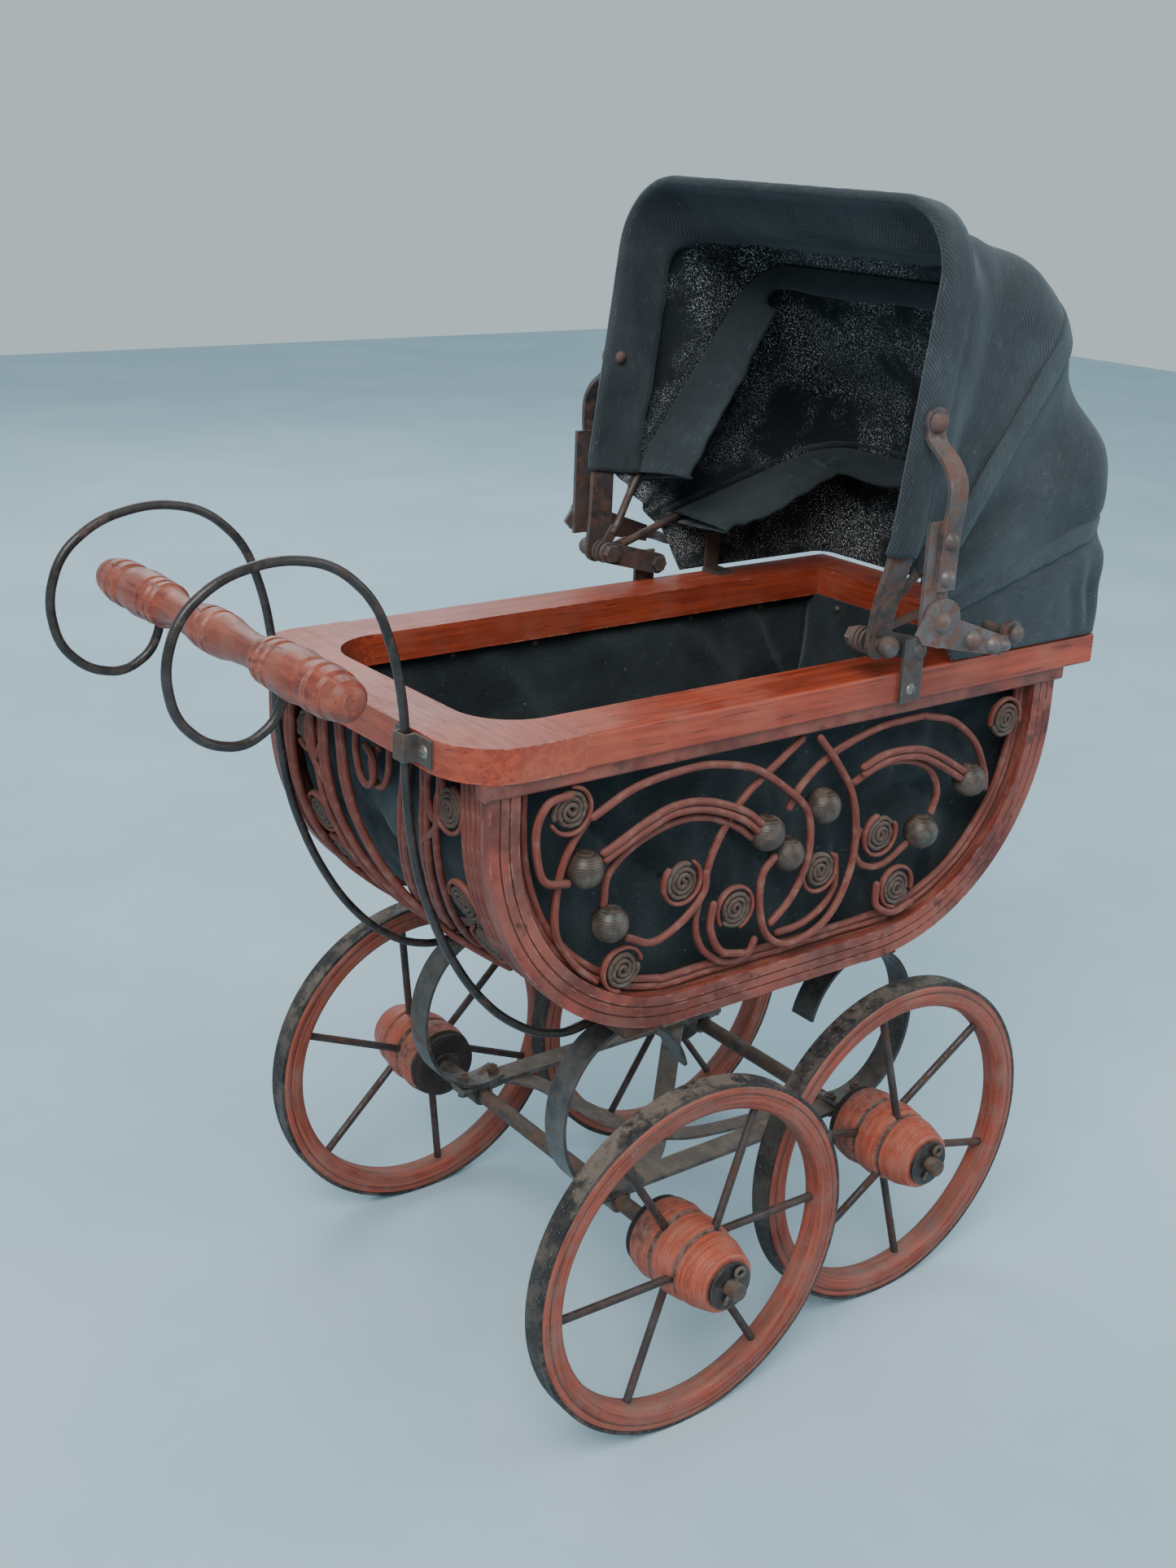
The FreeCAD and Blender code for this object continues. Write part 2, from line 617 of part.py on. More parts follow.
def end_cane(cx, cz, radius, outward, y):
    """Cane that follows the curved end of the tub from the rim to the floor."""
    reach = radius - END_CANE_INSET
    top = V(cx + outward * reach, y, HOOP_TOP_Z + 6)
    corner = V(cx + outward * reach, y, cz)
    straight = Part.makeLine(top, corner)
    start, sweep = (180, END_CANE_SWEEP) if outward < 0 else (360, -END_CANE_SWEEP)
    bend = arc_edge(cx, cz, reach, start, start + sweep, y)
    section = Part.Wire(Part.makeCircle(CANE_RADIUS, top, Z_AXIS))
    return Part.Wire([straight, bend]).makePipeShell([section], True, False)


end_canes = []
for y in END_CANE_YS:
    end_canes.append(end_cane(HANDLE_ARC_X, HANDLE_ARC_Z, HANDLE_END_RADIUS, -1, y))
    end_canes.append(end_cane(HOOD_ARC_X, HOOD_ARC_Z, HOOD_END_RADIUS, 1, y))
nodes["end_canes"] = group(end_canes)

END_COILS = [(67, -2), (68, 22), (69, 36)]


def end_coil(cx, cz, radius, outward, y, sweep):
    """Coil set on the curved end, square to the surface."""
    angle = math.radians(180 + sweep) if outward < 0 else math.radians(-sweep)
    direction = V(math.cos(angle), 0, math.sin(angle))
    centre = V(cx, y, cz) + direction * (radius - END_CANE_INSET - COIL_THICKNESS / 2)
    return coil(centre, direction)


for y, sweep in END_COILS:
    for side in (-1, 1):
        coils.append(end_coil(HANDLE_ARC_X, HANDLE_ARC_Z, HANDLE_END_RADIUS, -1, side * y, sweep))
        coils.append(end_coil(HOOD_ARC_X, HOOD_ARC_Z, HOOD_END_RADIUS, 1, side * y, sweep))
side_coils = coils[:len(SIDE_COILS)]
nodes["cane_coils"] = group(coils + [mirrored(item) for item in side_coils])


# ---------------------------------------------------------------- handle
ROD_ROUTE = [(-38, 205), (-57, 201), (-78, 207), (-99, 222), (-117, 243), (-133, 271),
             (-145, 303), (-150, 330), (RIM_X0 - 3.6, 357), (RIM_X0 - 3.6, 382), (-157, 410),
             (-167, 438), (-187, 456), (-212, 461), (-238, 456), (-257, 442), (-264, 421),
             (-260, 400), (-247, 387), (-230, 383), (-216, 391), (GRIP_X, 403), (GRIP_X, 413)]
handle_rod = bent_rod(side_points(ROD_ROUTE, ROD_Y), ROD_RADIUS)
nodes["handle_rod_right"] = handle_rod
nodes["handle_rod_left"] = mirrored(handle_rod)


def grip_profile():
    """Half of the turned grip, from its middle to one end."""
    return [(0, 10.4), (3, 10.6), (4, 9.6), (5, 9.6), (6, 10.4), (10, 10.2), (20, 8.6),
            (34, 7.6), (44, 8.2), (50, 9.6), (51, 10.8), (54, 10.8), (55, 9.8), (56, 9.8),
            (57, 11.0), (61, 11.2), (62, 10.2), (63, 10.2), (65, 11.2), (76, 11.8), (86, 10.8),
            (88, 9.8), (90, 9.8), (92, 11.2), (97, 11.2), (98, 10.0), (99, 10.0), (101, 11.2),
            (107, 10.6), (109, 9.2), (111, 9.8), (116, 8.8), (119, 6.8), (GRIP_HALF_LENGTH, 4.5)]


half_profile = grip_profile()
whole_profile = [(-axial, radius) for axial, radius in reversed(half_profile)] + half_profile[1:]
grip = turned(whole_profile, V(GRIP_X, 0, GRIP_Z), 1)
for y in (-ROD_Y, ROD_Y):
    grip = grip.cut(rod(V(GRIP_X, y, GRIP_Z - 20), V(GRIP_X, y, GRIP_Z - 2), ROD_RADIUS))
nodes["handle_grip"] = grip

CLIP_THICKNESS = 1.2
CLIP_HEIGHT = 13.0
CLIP_Z = 364.0
SCREW_RADIUS = 3.2


def handle_clip():
    """Strap over the rod, with a screwed tab on each side."""
    y = -ROD_Y
    standoff = RIM_X0 - 2 * ROD_RADIUS - 1.6
    loop_half = ROD_RADIUS + 1.2
    outer = box(standoff - CLIP_THICKNESS, RIM_X0, y - loop_half - CLIP_THICKNESS,
                y + loop_half + CLIP_THICKNESS, CLIP_Z, CLIP_Z + CLIP_HEIGHT)
    outer = outer.cut(box(standoff, RIM_X0 + 1, y - loop_half, y + loop_half,
                          CLIP_Z - 1, CLIP_Z + CLIP_HEIGHT + 1))
    tabs = box(RIM_X0 - CLIP_THICKNESS, RIM_X0, y - loop_half - 14, y + loop_half + 9,
               CLIP_Z, CLIP_Z + CLIP_HEIGHT)
    tabs = tabs.cut(box(RIM_X0 - 5, RIM_X0 + 1, y - loop_half, y + loop_half,
                        CLIP_Z - 1, CLIP_Z + CLIP_HEIGHT + 1))
    return fuse([outer, tabs])


def slotted_screw(centre, direction, slot_direction):
    """Round-head wood screw with a straight slot."""
    head = dome(centre, direction, SCREW_RADIUS, 1.8)
    shank = rod(centre - direction * 9, centre + direction * 0.3, 1.5)
    screw = fuse([head, shank])
    half = slot_direction * 4
    across = direction.cross(slot_direction) * 0.35
    base = centre + direction * 1.0
    slot = Part.makePolygon([base - half - across, base + half - across,
                             base + half + across, base - half + across, base - half - across])
    return screw.cut(Part.Face(slot).extrude(direction * 3))


clip = handle_clip()
clip_screw = slotted_screw(V(RIM_X0 - CLIP_THICKNESS, -ROD_Y - 11.5, CLIP_Z + CLIP_HEIGHT / 2),
                           V(-1, 0, 0), V(0, 0.94, 0.34))
BRACKET_X = 114.0
BRACKET_THICKNESS = 2.0
bracket_screw = slotted_screw(V(BRACKET_X, -RIM_HALF_Y - BRACKET_THICKNESS, 368.5),
                              V(0, -1, 0), V(0.2, 0, 0.98))
nodes["handle_clips"] = pair(clip.cut(clip_screw))
screws = [clip_screw, mirrored(clip_screw), bracket_screw, mirrored(bracket_screw)]
nodes["slotted_screws"] = group(screws)
nodes["rim_handle_end"] = nodes["rim_handle_end"].cut(clip_screw).cut(mirrored(clip_screw))
nodes["rim_rail_right"] = nodes["rim_rail_right"].cut(bracket_screw)
nodes["rim_rail_left"] = nodes["rim_rail_left"].cut(mirrored(bracket_screw))


# ---------------------------------------------------------------- hood brackets and pins
BRACKET_RIVET = (118.0, 388.0)
ARM_Y = 101.3
ARM_THICKNESS = 2.5
ARM_HALF_WIDTH = 6.0
bracket = box(BRACKET_X - 7, BRACKET_X + 7, -RIM_HALF_Y - BRACKET_THICKNESS, -RIM_HALF_Y,
              362.0, 395.0).cut(bracket_screw)


def link_plate(start, end, half_width, y0, thickness):
    """Flat bar with round ends between two (x, z) points, from y0 outwards."""
    a = V(start[0], -y0, start[1])
    b = V(end[0], -y0, end[1])
    out = V(0, -thickness, 0)
    along = b.sub(a)
    along.normalize()
    across = along.cross(Y_AXIS) * half_width
    corners = [a + across, b + across, b - across, a - across]
    bar = Part.Face(Part.makePolygon(corners + [corners[0]])).extrude(out)
    ends = [Part.makeCylinder(half_width, thickness, point, V(0, -1, 0)) for point in (a, b)]
    return fuse([bar] + ends)


def cross_pin(x, z, y0, y1, radius):
    """Round pin along Y between two distances from the middle, on the right side."""
    return rod(V(x, -y0, z), V(x, -y1, z), radius)


rivet_x, rivet_z = BRACKET_RIVET
arm = link_plate(BRACKET_RIVET, (PIVOT_X, PIVOT_Z), ARM_HALF_WIDTH, ARM_Y, ARM_THICKNESS)
bracket_rivet = fuse([
    cross_pin(rivet_x, rivet_z, ARM_Y - 2.5, RIM_HALF_Y + BRACKET_THICKNESS, 2.5),
    dome(V(rivet_x, -RIM_HALF_Y - BRACKET_THICKNESS, rivet_z), V(0, -1, 0), 4.4, 2.8),
    hexagon(V(rivet_x, -ARM_Y, rivet_z), Y_AXIS, 8, 2.5)])
spacer = cross_pin(rivet_x, rivet_z, ARM_Y + ARM_THICKNESS, RIM_HALF_Y, 4.0)
bracket_rivet = fuse([bracket_rivet, spacer])
PIN_BALL_Y = 117.9
pivot_pin = fuse([
    cross_pin(PIVOT_X, PIVOT_Z, ARM_Y - 4, PIN_BALL_Y + 1, PIVOT_RADIUS),
    hexagon(V(PIVOT_X, -ARM_Y, PIVOT_Z), Y_AXIS, 9, 4),
    Part.makeSphere(5.4, V(PIVOT_X, -PIN_BALL_Y - 4.6, PIVOT_Z))])
nodes["hood_brackets"] = pair(bracket.cut(bracket_rivet))
nodes["bracket_arms"] = pair(arm.cut(bracket_rivet).cut(pivot_pin))
nodes["hood_pins"] = group([bracket_rivet, mirrored(bracket_rivet),
                            pivot_pin, mirrored(pivot_pin)])

anchor_x, anchor_z = ANCHOR
ANCHOR_RADIUS = 2.5
foot = box(anchor_x - 6, anchor_x + 6, -107.6, -92.0, RIM_TOP_Z, RIM_TOP_Z + 2)
upright = box(anchor_x - 5, anchor_x + 5, -107.6, -105.6, RIM_TOP_Z, anchor_z + 5)
anchor_pin = cross_pin(anchor_x, anchor_z, 105.6, 133.2, ANCHOR_RADIUS)
anchor_head = dome(V(anchor_x, -132.6, anchor_z), V(0, -1, 0), 4.6, 3.4)
nodes["stay_anchors"] = pair(fuse([foot, upright, anchor_pin, anchor_head]))


# ---------------------------------------------------------------- hood bows
EYE_RADIUS = 6.5
EYE_THICKNESS = 1.6
TANG_HALF_WIDTH = 3.2
TANG_END = 16.0
ROD_START = 12.0
eye_hole = rod(V(0, -130, 0), V(0, 130, 0), PIVOT_RADIUS + RUNNING_CLEARANCE)


def upright_bow_route(foot_y, half_width, height, corner, foot_height):
    """U-shaped route over the pivot, drawn upright, with legs that splay outwards."""
    bend = corner * 0.21
    leg = [(foot_y, foot_height), (foot_y, 18), (half_width, 52), (half_width, height - corner),
           (half_width - bend, height - bend), (half_width - corner, height)]
    return [V(0, -y, z) for y, z in leg] + [V(0, y, z) for y, z in reversed(leg)]


def bow_eyes(y):
    """Flattened ends of a rod, with the eyes that turn on the pivot pins."""
    eyes = []
    half = EYE_THICKNESS / 2
    for side in (-1, 1):
        start = V(0, side * (y - half), 0)
        eyes.append(Part.makeCylinder(EYE_RADIUS, EYE_THICKNESS, start, V(0, side, 0)))
        eyes.append(box(-TANG_HALF_WIDTH, TANG_HALF_WIDTH, side * y - half, side * y + half,
                        0, TANG_END))
    return eyes


def rod_bow(foot_y, half_width, radius, degrees):
    """Round bow with an eye at each end."""
    route = upright_bow_route(foot_y, half_width, radius, ROD_CORNER, ROD_START)
    bow = fuse([bent_rod(route, BOW_ROD_RADIUS)] + bow_eyes(foot_y))
    return lean(bow.cut(eye_hole), degrees)


nodes["middle_bow"] = rod_bow(MIDDLE_FOOT_Y, MIDDLE_BOW_Y, MIDDLE_BOW_RADIUS, MIDDLE_LEAN)
nodes["rear_bow"] = rod_bow(REAR_FOOT_Y, REAR_BOW_Y, REAR_BOW_RADIUS, REAR_LEAN)

strip_route = upright_bow_route(FRONT_FOOT_Y, FRONT_BOW_Y, FRONT_BOW_RADIUS, FRONT_CORNER, 0.0)
front_strip = bent_strip(strip_route, BOW_STRIP_THICKNESS, BOW_STRIP_WIDTH, V(1, 0, 0))
rounded_feet = [Part.makeCylinder(BOW_STRIP_WIDTH / 2, BOW_STRIP_THICKNESS,
                                  V(0, side * (FRONT_FOOT_Y - BOW_STRIP_THICKNESS / 2), 0),
                                  V(0, side, 0)) for side in (-1, 1)]
STAY_INNER_Y = 124.4
STAY_THICKNESS = 2.2
STAY_PIN_RADIUS = 2.4
stay_shank = rod(V(0, -FRONT_BOW_Y + BOW_STRIP_THICKNESS / 2, STAY_RADIUS_ON_BOW),
                 V(0, -STAY_INNER_Y - STAY_THICKNESS - 1, STAY_RADIUS_ON_BOW), STAY_PIN_RADIUS)
front_strip = fuse([front_strip] + rounded_feet).cut(eye_hole)
front_strip = front_strip.cut(stay_shank).cut(mirrored(stay_shank))
nodes["front_bow"] = lean(front_strip, FRONT_LEAN)
stay_head = dome(V(0, -STAY_INNER_Y - STAY_THICKNESS - 0.3, STAY_RADIUS_ON_BOW),
                 V(0, -1, 0), 5.4, 4.0)
stay_rivet = fuse([stay_shank, stay_head])
nodes["stay_rivets"] = group([lean(stay_rivet, FRONT_LEAN), lean(mirrored(stay_rivet), FRONT_LEAN)])


# ---------------------------------------------------------------- hood cloth
def from_pivot(radius, degrees, y):
    """Point at a distance and a lean from the hood pivot."""
    angle = math.radians(degrees)
    return V(PIVOT_X + radius * math.sin(angle), y, PIVOT_Z + radius * math.cos(angle))


def cloth_sector(half_width, throat_radius, start, start_radius, end, end_radius):
    """Closed shell of hood cloth: two side walls and a top that draws in from start to end."""
    y = -half_width
    pivot = V(PIVOT_X, y, PIVOT_Z)
    first = from_pivot(start_radius, start, y)
    middle = from_pivot((start_radius + end_radius) / 2, (start + end) / 2, y)
    last = from_pivot(end_radius, end, y)
    top = Part.Arc(first, middle, last).toShape()
    outline = Part.Wire([Part.makeLine(pivot, first), top, Part.makeLine(last, pivot)])
    outer = Part.Face(outline).extrude(V(0, 2 * half_width, 0))
    hollow = Part.makeCylinder(top.Curve.Radius - SHELL, 2 * (half_width - SHELL),
                               top.Curve.Center + V(0, SHELL, 0), Y_AXIS)
    throat = Part.makeCylinder(throat_radius, 2 * half_width, pivot, Y_AXIS)
    return outer.cut(hollow).cut(throat)


front_cloth = cloth_sector(123.9, 40.0, FRONT_LEAN - 2.6, 209.9, MIDDLE_LEAN + 1.5, 200.6)
front_hole = rod(V(0, -130, STAY_RADIUS_ON_BOW), V(0, -110, STAY_RADIUS_ON_BOW),
                 STAY_PIN_RADIUS + 0.6)
front_hole = lean(front_hole, FRONT_LEAN)
nodes["hood_cloth_front"] = front_cloth.cut(front_hole).cut(mirrored(front_hole))
nodes["hood_cloth_middle"] = cloth_sector(122.0, 92.0, MIDDLE_LEAN - 1.5, 199.0,
                                          REAR_LEAN + 1.0, 185.6)
apron = cloth_sector(114.0, 60.0, REAR_LEAN - 1.5, 183.9, APRON_LEAN, 183.9)
apron = apron.cut(box(0, 320, -130, 130, 300, RIM_TOP_Z + 0.3))
anchor_hole = cross_pin(anchor_x, anchor_z, 108, 118, 4.0)
nodes["hood_apron"] = apron.cut(anchor_hole).cut(mirrored(anchor_hole))


# ---------------------------------------------------------------- stays (landau irons)
STAY_STRIP_WIDTH = 11.5
STAY_BAR_Y = 138.8
PLATE_Y = STAY_BAR_Y + STAY_THICKNESS + 0.4
top_point = from_pivot(STAY_RADIUS_ON_BOW, FRONT_LEAN, 0)
knee_point = V(KNEE[0], 0, KNEE[1])


def upper_stay():
    """Strip from the front bow, joggled outwards and riveted to the bar of the knee."""
    down = knee_point.sub(top_point)
    length = down.Length
    down.normalize()
    across = down.cross(Y_AXIS)
    eye_y = STAY_INNER_Y + STAY_THICKNESS / 2
    strip_y = STAY_BAR_Y + STAY_THICKNESS * 1.5
    profile = [(0, eye_y), (8, eye_y), (17, eye_y + 12.5), (26, strip_y + 1.6),
               (38, strip_y + 1.6), (48, strip_y), (length - 16, strip_y)]
    points = [top_point + down * t + V(0, -y, 0) for t, y in profile]
    strip = bent_strip(points, STAY_THICKNESS, STAY_STRIP_WIDTH, across)
    eye = Part.makeCylinder(STAY_STRIP_WIDTH / 2 + 1.2, STAY_THICKNESS,
                            V(top_point.x, -STAY_INNER_Y, top_point.z), V(0, -1, 0))
    bar = box(KNEE[0] - 12, KNEE[0] + 4, -STAY_BAR_Y - STAY_THICKNESS, -STAY_BAR_Y,
              KNEE[1] - 11, KNEE[1] + 49)
    rivets = []
    for t in (53.0, 71.0):
        spot = top_point + down * t
        head_y = strip_y + STAY_THICKNESS / 2
        rivets.append(dome(V(spot.x, -head_y, spot.z), V(0, -1, 0), 4.6, 3.4))
        rivets.append(cross_pin(spot.x, spot.z, STAY_BAR_Y, head_y + 0.5, 2.0))
    stay = fuse([strip, eye, bar] + rivets)
    return stay.cut(cross_pin(top_point.x, top_point.z, 110, 128,
                              STAY_PIN_RADIUS + RUNNING_CLEARANCE))


def lower_stay():
    """Knee plate with its arm, and the cranked hook that turns on the anchor pin."""
    outline = [(-16.5, -4), (-7, 9), (13, 0), (45, -12), (45, -22), (15, -15.5), (-12, -9)]
    corners = [V(KNEE[0] + x, -PLATE_Y, KNEE[1] + z) for x, z in outline]
    arm = Part.Face(Part.makePolygon(corners + [corners[0]])).extrude(V(0, -STAY_THICKNESS, 0))
    disc = Part.makeCylinder(12.0, STAY_THICKNESS, V(KNEE[0], -PLATE_Y, KNEE[1]), V(0, -1, 0))
    hook_y = PLATE_Y + STAY_THICKNESS / 2
    eye_y = 128.8
    hook = bent_rod([V(KNEE[0] + 38, -hook_y, KNEE[1] - 16), V(KNEE[0] + 50, -hook_y, KNEE[1] - 18),
                     V(ANCHOR[0] - 13, -eye_y - 3, ANCHOR[1] - 3.5),
                     V(ANCHOR[0] - 2, -eye_y, ANCHOR[1] - 3)], 3.0)
    eye = Part.makeCylinder(6.4, 3.4, V(ANCHOR[0], -eye_y + 1.9, ANCHOR[1]), V(0, -1, 0))
    heads = [(0, 0, 5.2), (22.5, -11.5, 4.8), (38, -16, 4.8)]
    domes = [dome(V(KNEE[0] + x, -PLATE_Y - STAY_THICKNESS, KNEE[1] + z), V(0, -1, 0), radius, 3.6)
             for x, z, radius in heads]
    stay = fuse([arm, disc, hook, eye] + domes)
    return stay.cut(cross_pin(ANCHOR[0], ANCHOR[1], 110, 140, ANCHOR_RADIUS + RUNNING_CLEARANCE))


upper = upper_stay()
lower = lower_stay()
nodes["stay_upper_right"] = upper
nodes["stay_upper_left"] = mirrored(upper)
nodes["stay_lower_right"] = lower
nodes["stay_lower_left"] = mirrored(lower)


# ---------------------------------------------------------------- export
for name, shape in nodes.items():
    shape.exportStep("parts/" + name + ".step")
    bounds = shape.BoundBox
    print(name, len(shape.Solids), shape.isValid(), round(shape.Volume),
          "x %.0f %.0f y %.0f %.0f z %.0f %.0f" % (bounds.XMin, bounds.XMax, bounds.YMin,
                                                 bounds.YMax, bounds.ZMin, bounds.ZMax))
print(len(nodes), "nodes")
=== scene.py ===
"""Doll's pram: camera, light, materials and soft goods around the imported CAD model."""
import math
import bpy
from mathutils import Matrix, Vector, noise


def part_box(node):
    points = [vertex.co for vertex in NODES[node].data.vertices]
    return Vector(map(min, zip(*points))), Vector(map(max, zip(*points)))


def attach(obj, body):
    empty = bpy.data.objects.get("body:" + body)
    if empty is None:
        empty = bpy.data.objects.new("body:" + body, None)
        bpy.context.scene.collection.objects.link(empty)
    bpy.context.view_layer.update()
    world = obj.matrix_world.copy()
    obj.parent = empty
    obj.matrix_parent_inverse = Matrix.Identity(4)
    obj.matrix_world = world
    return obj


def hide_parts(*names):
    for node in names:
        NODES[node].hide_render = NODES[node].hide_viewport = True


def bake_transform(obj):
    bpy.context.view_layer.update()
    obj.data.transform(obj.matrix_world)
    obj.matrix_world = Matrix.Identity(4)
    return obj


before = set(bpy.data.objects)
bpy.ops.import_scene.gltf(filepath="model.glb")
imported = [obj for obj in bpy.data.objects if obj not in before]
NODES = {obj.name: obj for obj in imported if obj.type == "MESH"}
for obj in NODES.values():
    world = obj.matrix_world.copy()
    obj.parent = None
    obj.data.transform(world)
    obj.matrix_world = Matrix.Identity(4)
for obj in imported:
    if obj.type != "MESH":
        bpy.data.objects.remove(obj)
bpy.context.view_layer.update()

MM = 0.001


# ---------------------------------------------------------------- camera and light
CAMERA_PLACE = (-0.54593, -0.716828, 0.63451)
CAMERA_LOOK = (0.56624, 0.74881, -0.34446)
CAMERA_ROLL = 0.039
CAMERA_LENS = 41.885


def place_camera():
    """Camera at the handle end, a little above the rim, rolled slightly."""
    look = Vector(CAMERA_LOOK).normalized()
    level = look.cross(Vector((0, 0, 1))).normalized()
    top = level.cross(look)
    right = math.cos(CAMERA_ROLL) * level + math.sin(CAMERA_ROLL) * top
    up = math.cos(CAMERA_ROLL) * top - math.sin(CAMERA_ROLL) * level
    data = bpy.data.cameras.new("camera")
    data.sensor_width = 36.0
    data.lens = CAMERA_LENS
    data.clip_start = 0.02
    camera = bpy.data.objects.new("camera", data)
    bpy.context.scene.collection.objects.link(camera)
    rotation = Matrix((right, up, -look)).transposed().to_4x4()
    camera.matrix_world = Matrix.Translation(CAMERA_PLACE) @ rotation
    bpy.context.scene.camera = camera


def area_light(name, where, aim, size, power, colour):
    """Square soft light aimed at a point."""
    data = bpy.data.lights.new(name, "AREA")
    data.size = size
    data.energy = power
    data.color = colour
    light = bpy.data.objects.new(name, data)
    bpy.context.scene.collection.objects.link(light)
    direction = Vector(aim) - Vector(where)
    light.rotation_euler = direction.to_track_quat("-Z", "Y").to_euler()
    light.location = where


def light_scene():
    """Soft daylight from the front left and above, with a pale surround."""
    area_light("key", (-1.5, -1.3, 2.3), (0, 0, 0.25), 1.6, 70, (1.0, 0.98, 0.95))
    area_light("fill", (1.9, -1.5, 1.3), (0, 0, 0.3), 1.8, 20, (0.90, 0.96, 1.0))
    area_light("rear", (0.6, 2.2, 1.9), (0, 0, 0.3), 1.6, 26, (0.92, 0.97, 1.0))
    world = bpy.data.worlds.new("surround")
    world.use_nodes = True
    background = world.node_tree.nodes["Background"]
    background.inputs["Color"].default_value = (0.62, 0.76, 0.80, 1)
    background.inputs["Strength"].default_value = 0.82
    bpy.context.scene.world = world


# ---------------------------------------------------------------- materials
class Paint:
    """One procedural material built around a Principled shader."""

    def __init__(self, name, **constants):
        self.material = bpy.data.materials.new(name)
        self.material.use_nodes = True
        self.nodes = self.material.node_tree.nodes
        self.shader = self.nodes["Principled BSDF"]
        for key, value in constants.items():
            self.shader.inputs[key.replace("_", " ")].default_value = value
        self.where = self.node("TexCoord", {})["Object"]

    def feed(self, socket, value):
        """Link a socket to an output, or set its value."""
        if isinstance(value, bpy.types.NodeSocket):
            self.material.node_tree.links.new(value, socket)
        elif isinstance(value, (tuple, list)) and len(value) == 3 and socket.type == "RGBA":
            socket.default_value = (*value, 1)
        else:
            socket.default_value = value

    def node(self, kind, inputs, **settings):
        """Outputs of a new shader node, its inputs linked or set."""
        node = self.nodes.new("ShaderNode" + kind)
        for key, value in settings.items():
            setattr(node, key, value)
        for key, value in inputs.items():
            self.feed(node.inputs[key], value)
        return node.outputs

    def from_uv(self):
        """Use the mesh's flat cloth coordinates, in metres, instead of object space."""
        self.where = self.node("TexCoord", {})["UV"]

    def centred(self, centre):
        """Object coordinates measured from a point."""
        return self.node("VectorMath", {0: self.where, 1: centre}, operation="SUBTRACT")["Vector"]

    def stretched(self, scale, at=None):
        """Coordinates scaled by axis."""
        return self.node("Mapping", {"Vector": at or self.where, "Scale": scale})["Vector"]

    def noise(self, scale, detail, rough, at=None, bend=0.0):
        inputs = {"Vector": at or self.where, "Scale": scale, "Detail": detail, "Roughness": rough,
                  "Distortion": bend}
        return self.node("TexNoise", inputs)["Fac"]

    def cells(self, scale, at=None):
        return self.node("TexVoronoi", {"Vector": at or self.where, "Scale": scale})["Distance"]

    def ribs(self, scale, axis, bend):
        inputs = {"Vector": self.where, "Scale": scale, "Distortion": bend, "Detail": 2.0}
        return self.node("TexWave", inputs, bands_direction=axis)["Fac"]

    def math(self, kind, a, b=0.5):
        return self.node("Math", {0: a, 1: b}, operation=kind)[0]

    def times(self, a, b):
        return self.math("MULTIPLY", a, b)

    def plus(self, a, b):
        return self.math("ADD", a, b)

    def minus(self, a, b):
        return self.math("SUBTRACT", a, b)

    def most(self, a, b):
        return self.math("MAXIMUM", a, b)

    def size(self, a):
        return self.math("ABSOLUTE", a)

    def axes(self, at=None):
        """The three coordinates, each on its own."""
        return self.node("SeparateXYZ", {0: at or self.where})

    def fade(self, value, low, high, start=0.0, end=1.0):
        """Smooth step of a value between two levels."""
        inputs = {"Value": value, "From Min": low, "From Max": high, "To Min": start, "To Max": end}
        return self.node("MapRange", inputs, interpolation_type="SMOOTHSTEP")["Result"]

    def patches(self, scale, detail, rough, low, high, end=1.0, at=None):
        """Soft-edged blots of noise, up to a level of end."""
        return self.fade(self.noise(scale, detail, rough, at), low, high, 0.0, end)

    def mix(self, factor, a, b):
        return self.node("Mix", {0: factor, 6: a, 7: b}, data_type="RGBA")[2]

    def over(self, mask, colour):
        """Lay a colour over what is painted so far."""
        self.colour = self.mix(mask, self.colour, colour)

    def upward(self):
        """How far a surface faces up, from 0 to 1."""
        normal = self.node("NewGeometry", {})["Normal"]
        return self.fade(self.axes(normal)["Z"], 0.25, 0.95)

    def crevice(self, reach):
        """Nearness to other surfaces, 1 in tight corners."""
        light = self.node("AmbientOcclusion", {"Distance": reach}, samples=6)["AO"]
        return self.fade(light, 0.15, 0.85, 1.0, 0.0)

    def edge(self, radius):
        """Sharp edges worn by handling, 1 on the edge."""
        rounded = self.node("Bevel", {"Radius": radius}, samples=4)["Normal"]
        normal = self.node("NewGeometry", {})["Normal"]
        dot = self.node("VectorMath", {0: rounded, 1: normal}, operation="DOT_PRODUCT")["Value"]
        return self.fade(dot, 0.995, 0.90)

    def bump(self, height, strength, distance, under=None):
        inputs = {"Strength": strength, "Distance": distance, "Height": height}
        if under:
            inputs["Normal"] = under
        return self.node("Bump", inputs)["Normal"]

    def done(self, roughness, normal):
        """Join the paint to the shader."""
        self.feed(self.shader.inputs["Base Color"], self.colour)
        self.feed(self.shader.inputs["Roughness"], roughness)
        self.feed(self.shader.inputs["Normal"], normal)
        return self.material


def shaded(colour, factor):
    """A colour made darker or lighter."""
    return tuple(c * factor for c in colour)


